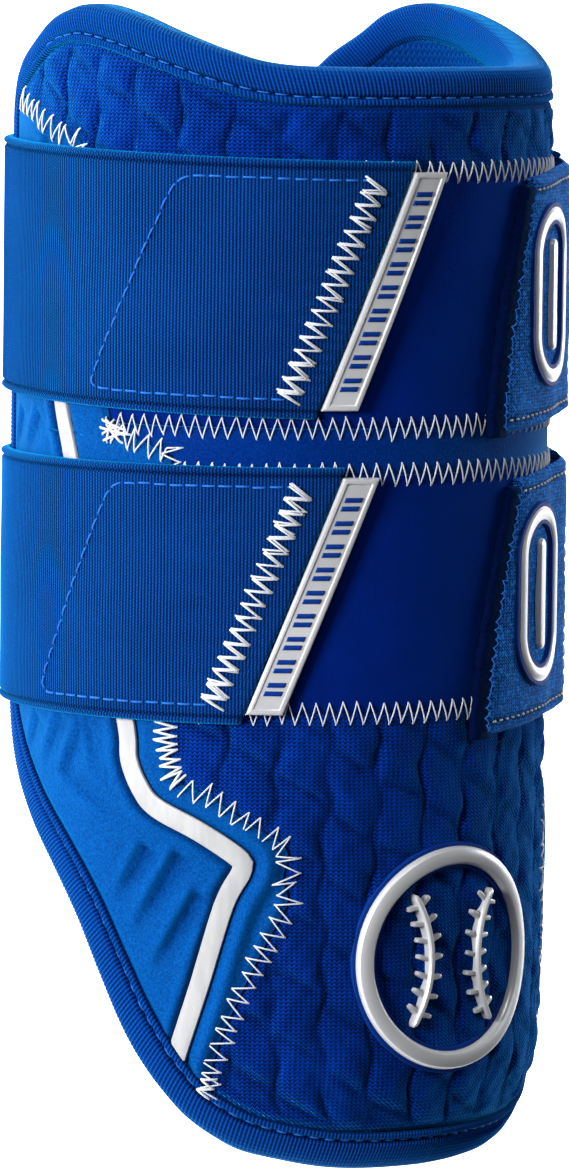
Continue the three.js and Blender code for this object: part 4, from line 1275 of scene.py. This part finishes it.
def make_zigzags():
    seams, dense, knots, bands = [], [], [], []
    legs = (SEAM_FOOT, SEAM_CORNER), (LOWER_LOOP_HIGH - 2, UPPER_LOOP_LOW - 1), (UPPER_LOOP_HIGH, LENGTH)
    for side in (-1, 1):
        for low, high in legs:
            part = seam_part(low, high, side)
            seams += zigzag(part[np.abs(part[:, 0]) < SEAM_REACH], 3.0, 2.2, SEAM_LIFT, 0.26, 0.4)
        corner = seam_part(SEAM_CORNER - 0.3, LOWER_LOOP_LOW + 2, side)
        dense += zigzag(corner, 1.7, 2.15, SEAM_LIFT + 0.05, 0.22, 0.45)
        dense += zigzag(seam_part(SEAM_FOOT, 19.5, side), 1.9, 1.5, SEAM_LIFT + 0.2, 0.25, 0.45, 0.4)
        knots += knot(side)
    for height in (LOWER_LOOP_LOW, LOWER_LOOP_HIGH, UPPER_LOOP_LOW, UPPER_LOOP_HIGH):
        reach = seam_wrap(height) - 1.5
        bands += zigzag(straight((-reach, height), (reach, height)), 2.7, 2.05, SEAM_LIFT, 0.13, 0.35)
    tubes("side_zigzags", seams, 0.17, WHITE_THREAD)
    tubes("seam_ends", dense, 0.26, WHITE_THREAD)
    tubes("seam_knots", knots, 0.25, WHITE_THREAD, 7)
    tubes("band_zigzags", bands, 0.145, WHITE_THREAD)


make_zigzags()


# Floor, lights and camera, in metres

FLOOR_HALF = 4.0
FLOOR_DROP = 0.0002
CAMERA_AZIMUTH = math.radians(-43.5)
CAMERA_ELEVATION = math.radians(5.0)
CAMERA_ROLL = math.radians(0.7)
CAMERA_DISTANCE = 1.6
CAMERA_AIM = Vector((0, -0.0026, AXIS_HEIGHT * 0.001))
PIXELS_PER_METRE = 5000.0
PHOTO_SIZE = (569, 1172)
OBJECT_CENTRE_PIXEL = 278.5
SENSOR = 36.0


def make_floor():
    corners = [(x * FLOOR_HALF, y * FLOOR_HALF, -FLOOR_DROP) for x, y in ((-1, -1), (1, -1), (1, 1), (-1, 1))]
    mesh = bpy.data.meshes.new("floor")
    mesh.from_pydata(corners, [], [(0, 1, 2, 3)])
    mesh.materials.append(floor_look())
    add_object("floor", mesh)


def make_light(name, place, size, power, color):
    """A soft area light, turned to the guard's axis."""
    data = bpy.data.lights.new(name, "AREA")
    data.shape = "RECTANGLE"
    data.size, data.size_y = size
    data.energy = power
    data.color = color
    light = add_object(name, data)
    light.location = place
    light.rotation_mode = "QUATERNION"
    light.rotation_quaternion = (Vector((0, 0, AXIS_HEIGHT * 0.001)) - Vector(place)).to_track_quat("-Z", "Y")


def make_lights():
    make_light("key", (-1.42, 0.30, 0.19), (0.35, 0.5), 27, (0.97, 0.985, 1.0))
    make_light("top", (-0.45, 1.15, 0.85), (0.35, 0.35), 4.6, (1.0, 1.0, 1.0))
    make_light("rim", (1.25, 0.16, 0.45), (0.35, 0.6), 12, (0.93, 0.97, 1.0))
    world = bpy.data.worlds.new("studio")
    world.use_nodes = True
    background = world.node_tree.nodes["Background"]
    background.inputs[0].default_value = (0.95, 0.97, 1.0, 1)
    background.inputs[1].default_value = 0.05
    bpy.context.scene.world = world


def make_camera():
    """The camera at the photo's angle. Image up is the way to the upper arm."""
    level = Vector((math.cos(CAMERA_AZIMUTH), 0, -math.sin(CAMERA_AZIMUTH)))
    inward = Vector((math.sin(CAMERA_AZIMUTH), 0, math.cos(CAMERA_AZIMUTH)))
    back = inward * math.cos(CAMERA_ELEVATION) + Vector((0, math.sin(CAMERA_ELEVATION), 0))
    upright = back.cross(level)
    right = level * math.cos(CAMERA_ROLL) + upright * math.sin(CAMERA_ROLL)
    up = upright * math.cos(CAMERA_ROLL) - level * math.sin(CAMERA_ROLL)
    target = CAMERA_AIM + right * (PHOTO_SIZE[0] / 2 - OBJECT_CENTRE_PIXEL) / PIXELS_PER_METRE
    data = bpy.data.cameras.new("camera")
    data.sensor_width = SENSOR
    data.lens = CAMERA_DISTANCE * PIXELS_PER_METRE * SENSOR / PHOTO_SIZE[1]
    camera = add_object("camera", data)
    turned = Matrix((right, up, back)).transposed().to_4x4()
    camera.matrix_world = Matrix.Translation(target + back * CAMERA_DISTANCE) @ turned
    bpy.context.scene.camera = camera


make_floor()
make_lights()
make_camera()
bpy.context.scene.view_settings.view_transform = "Standard"
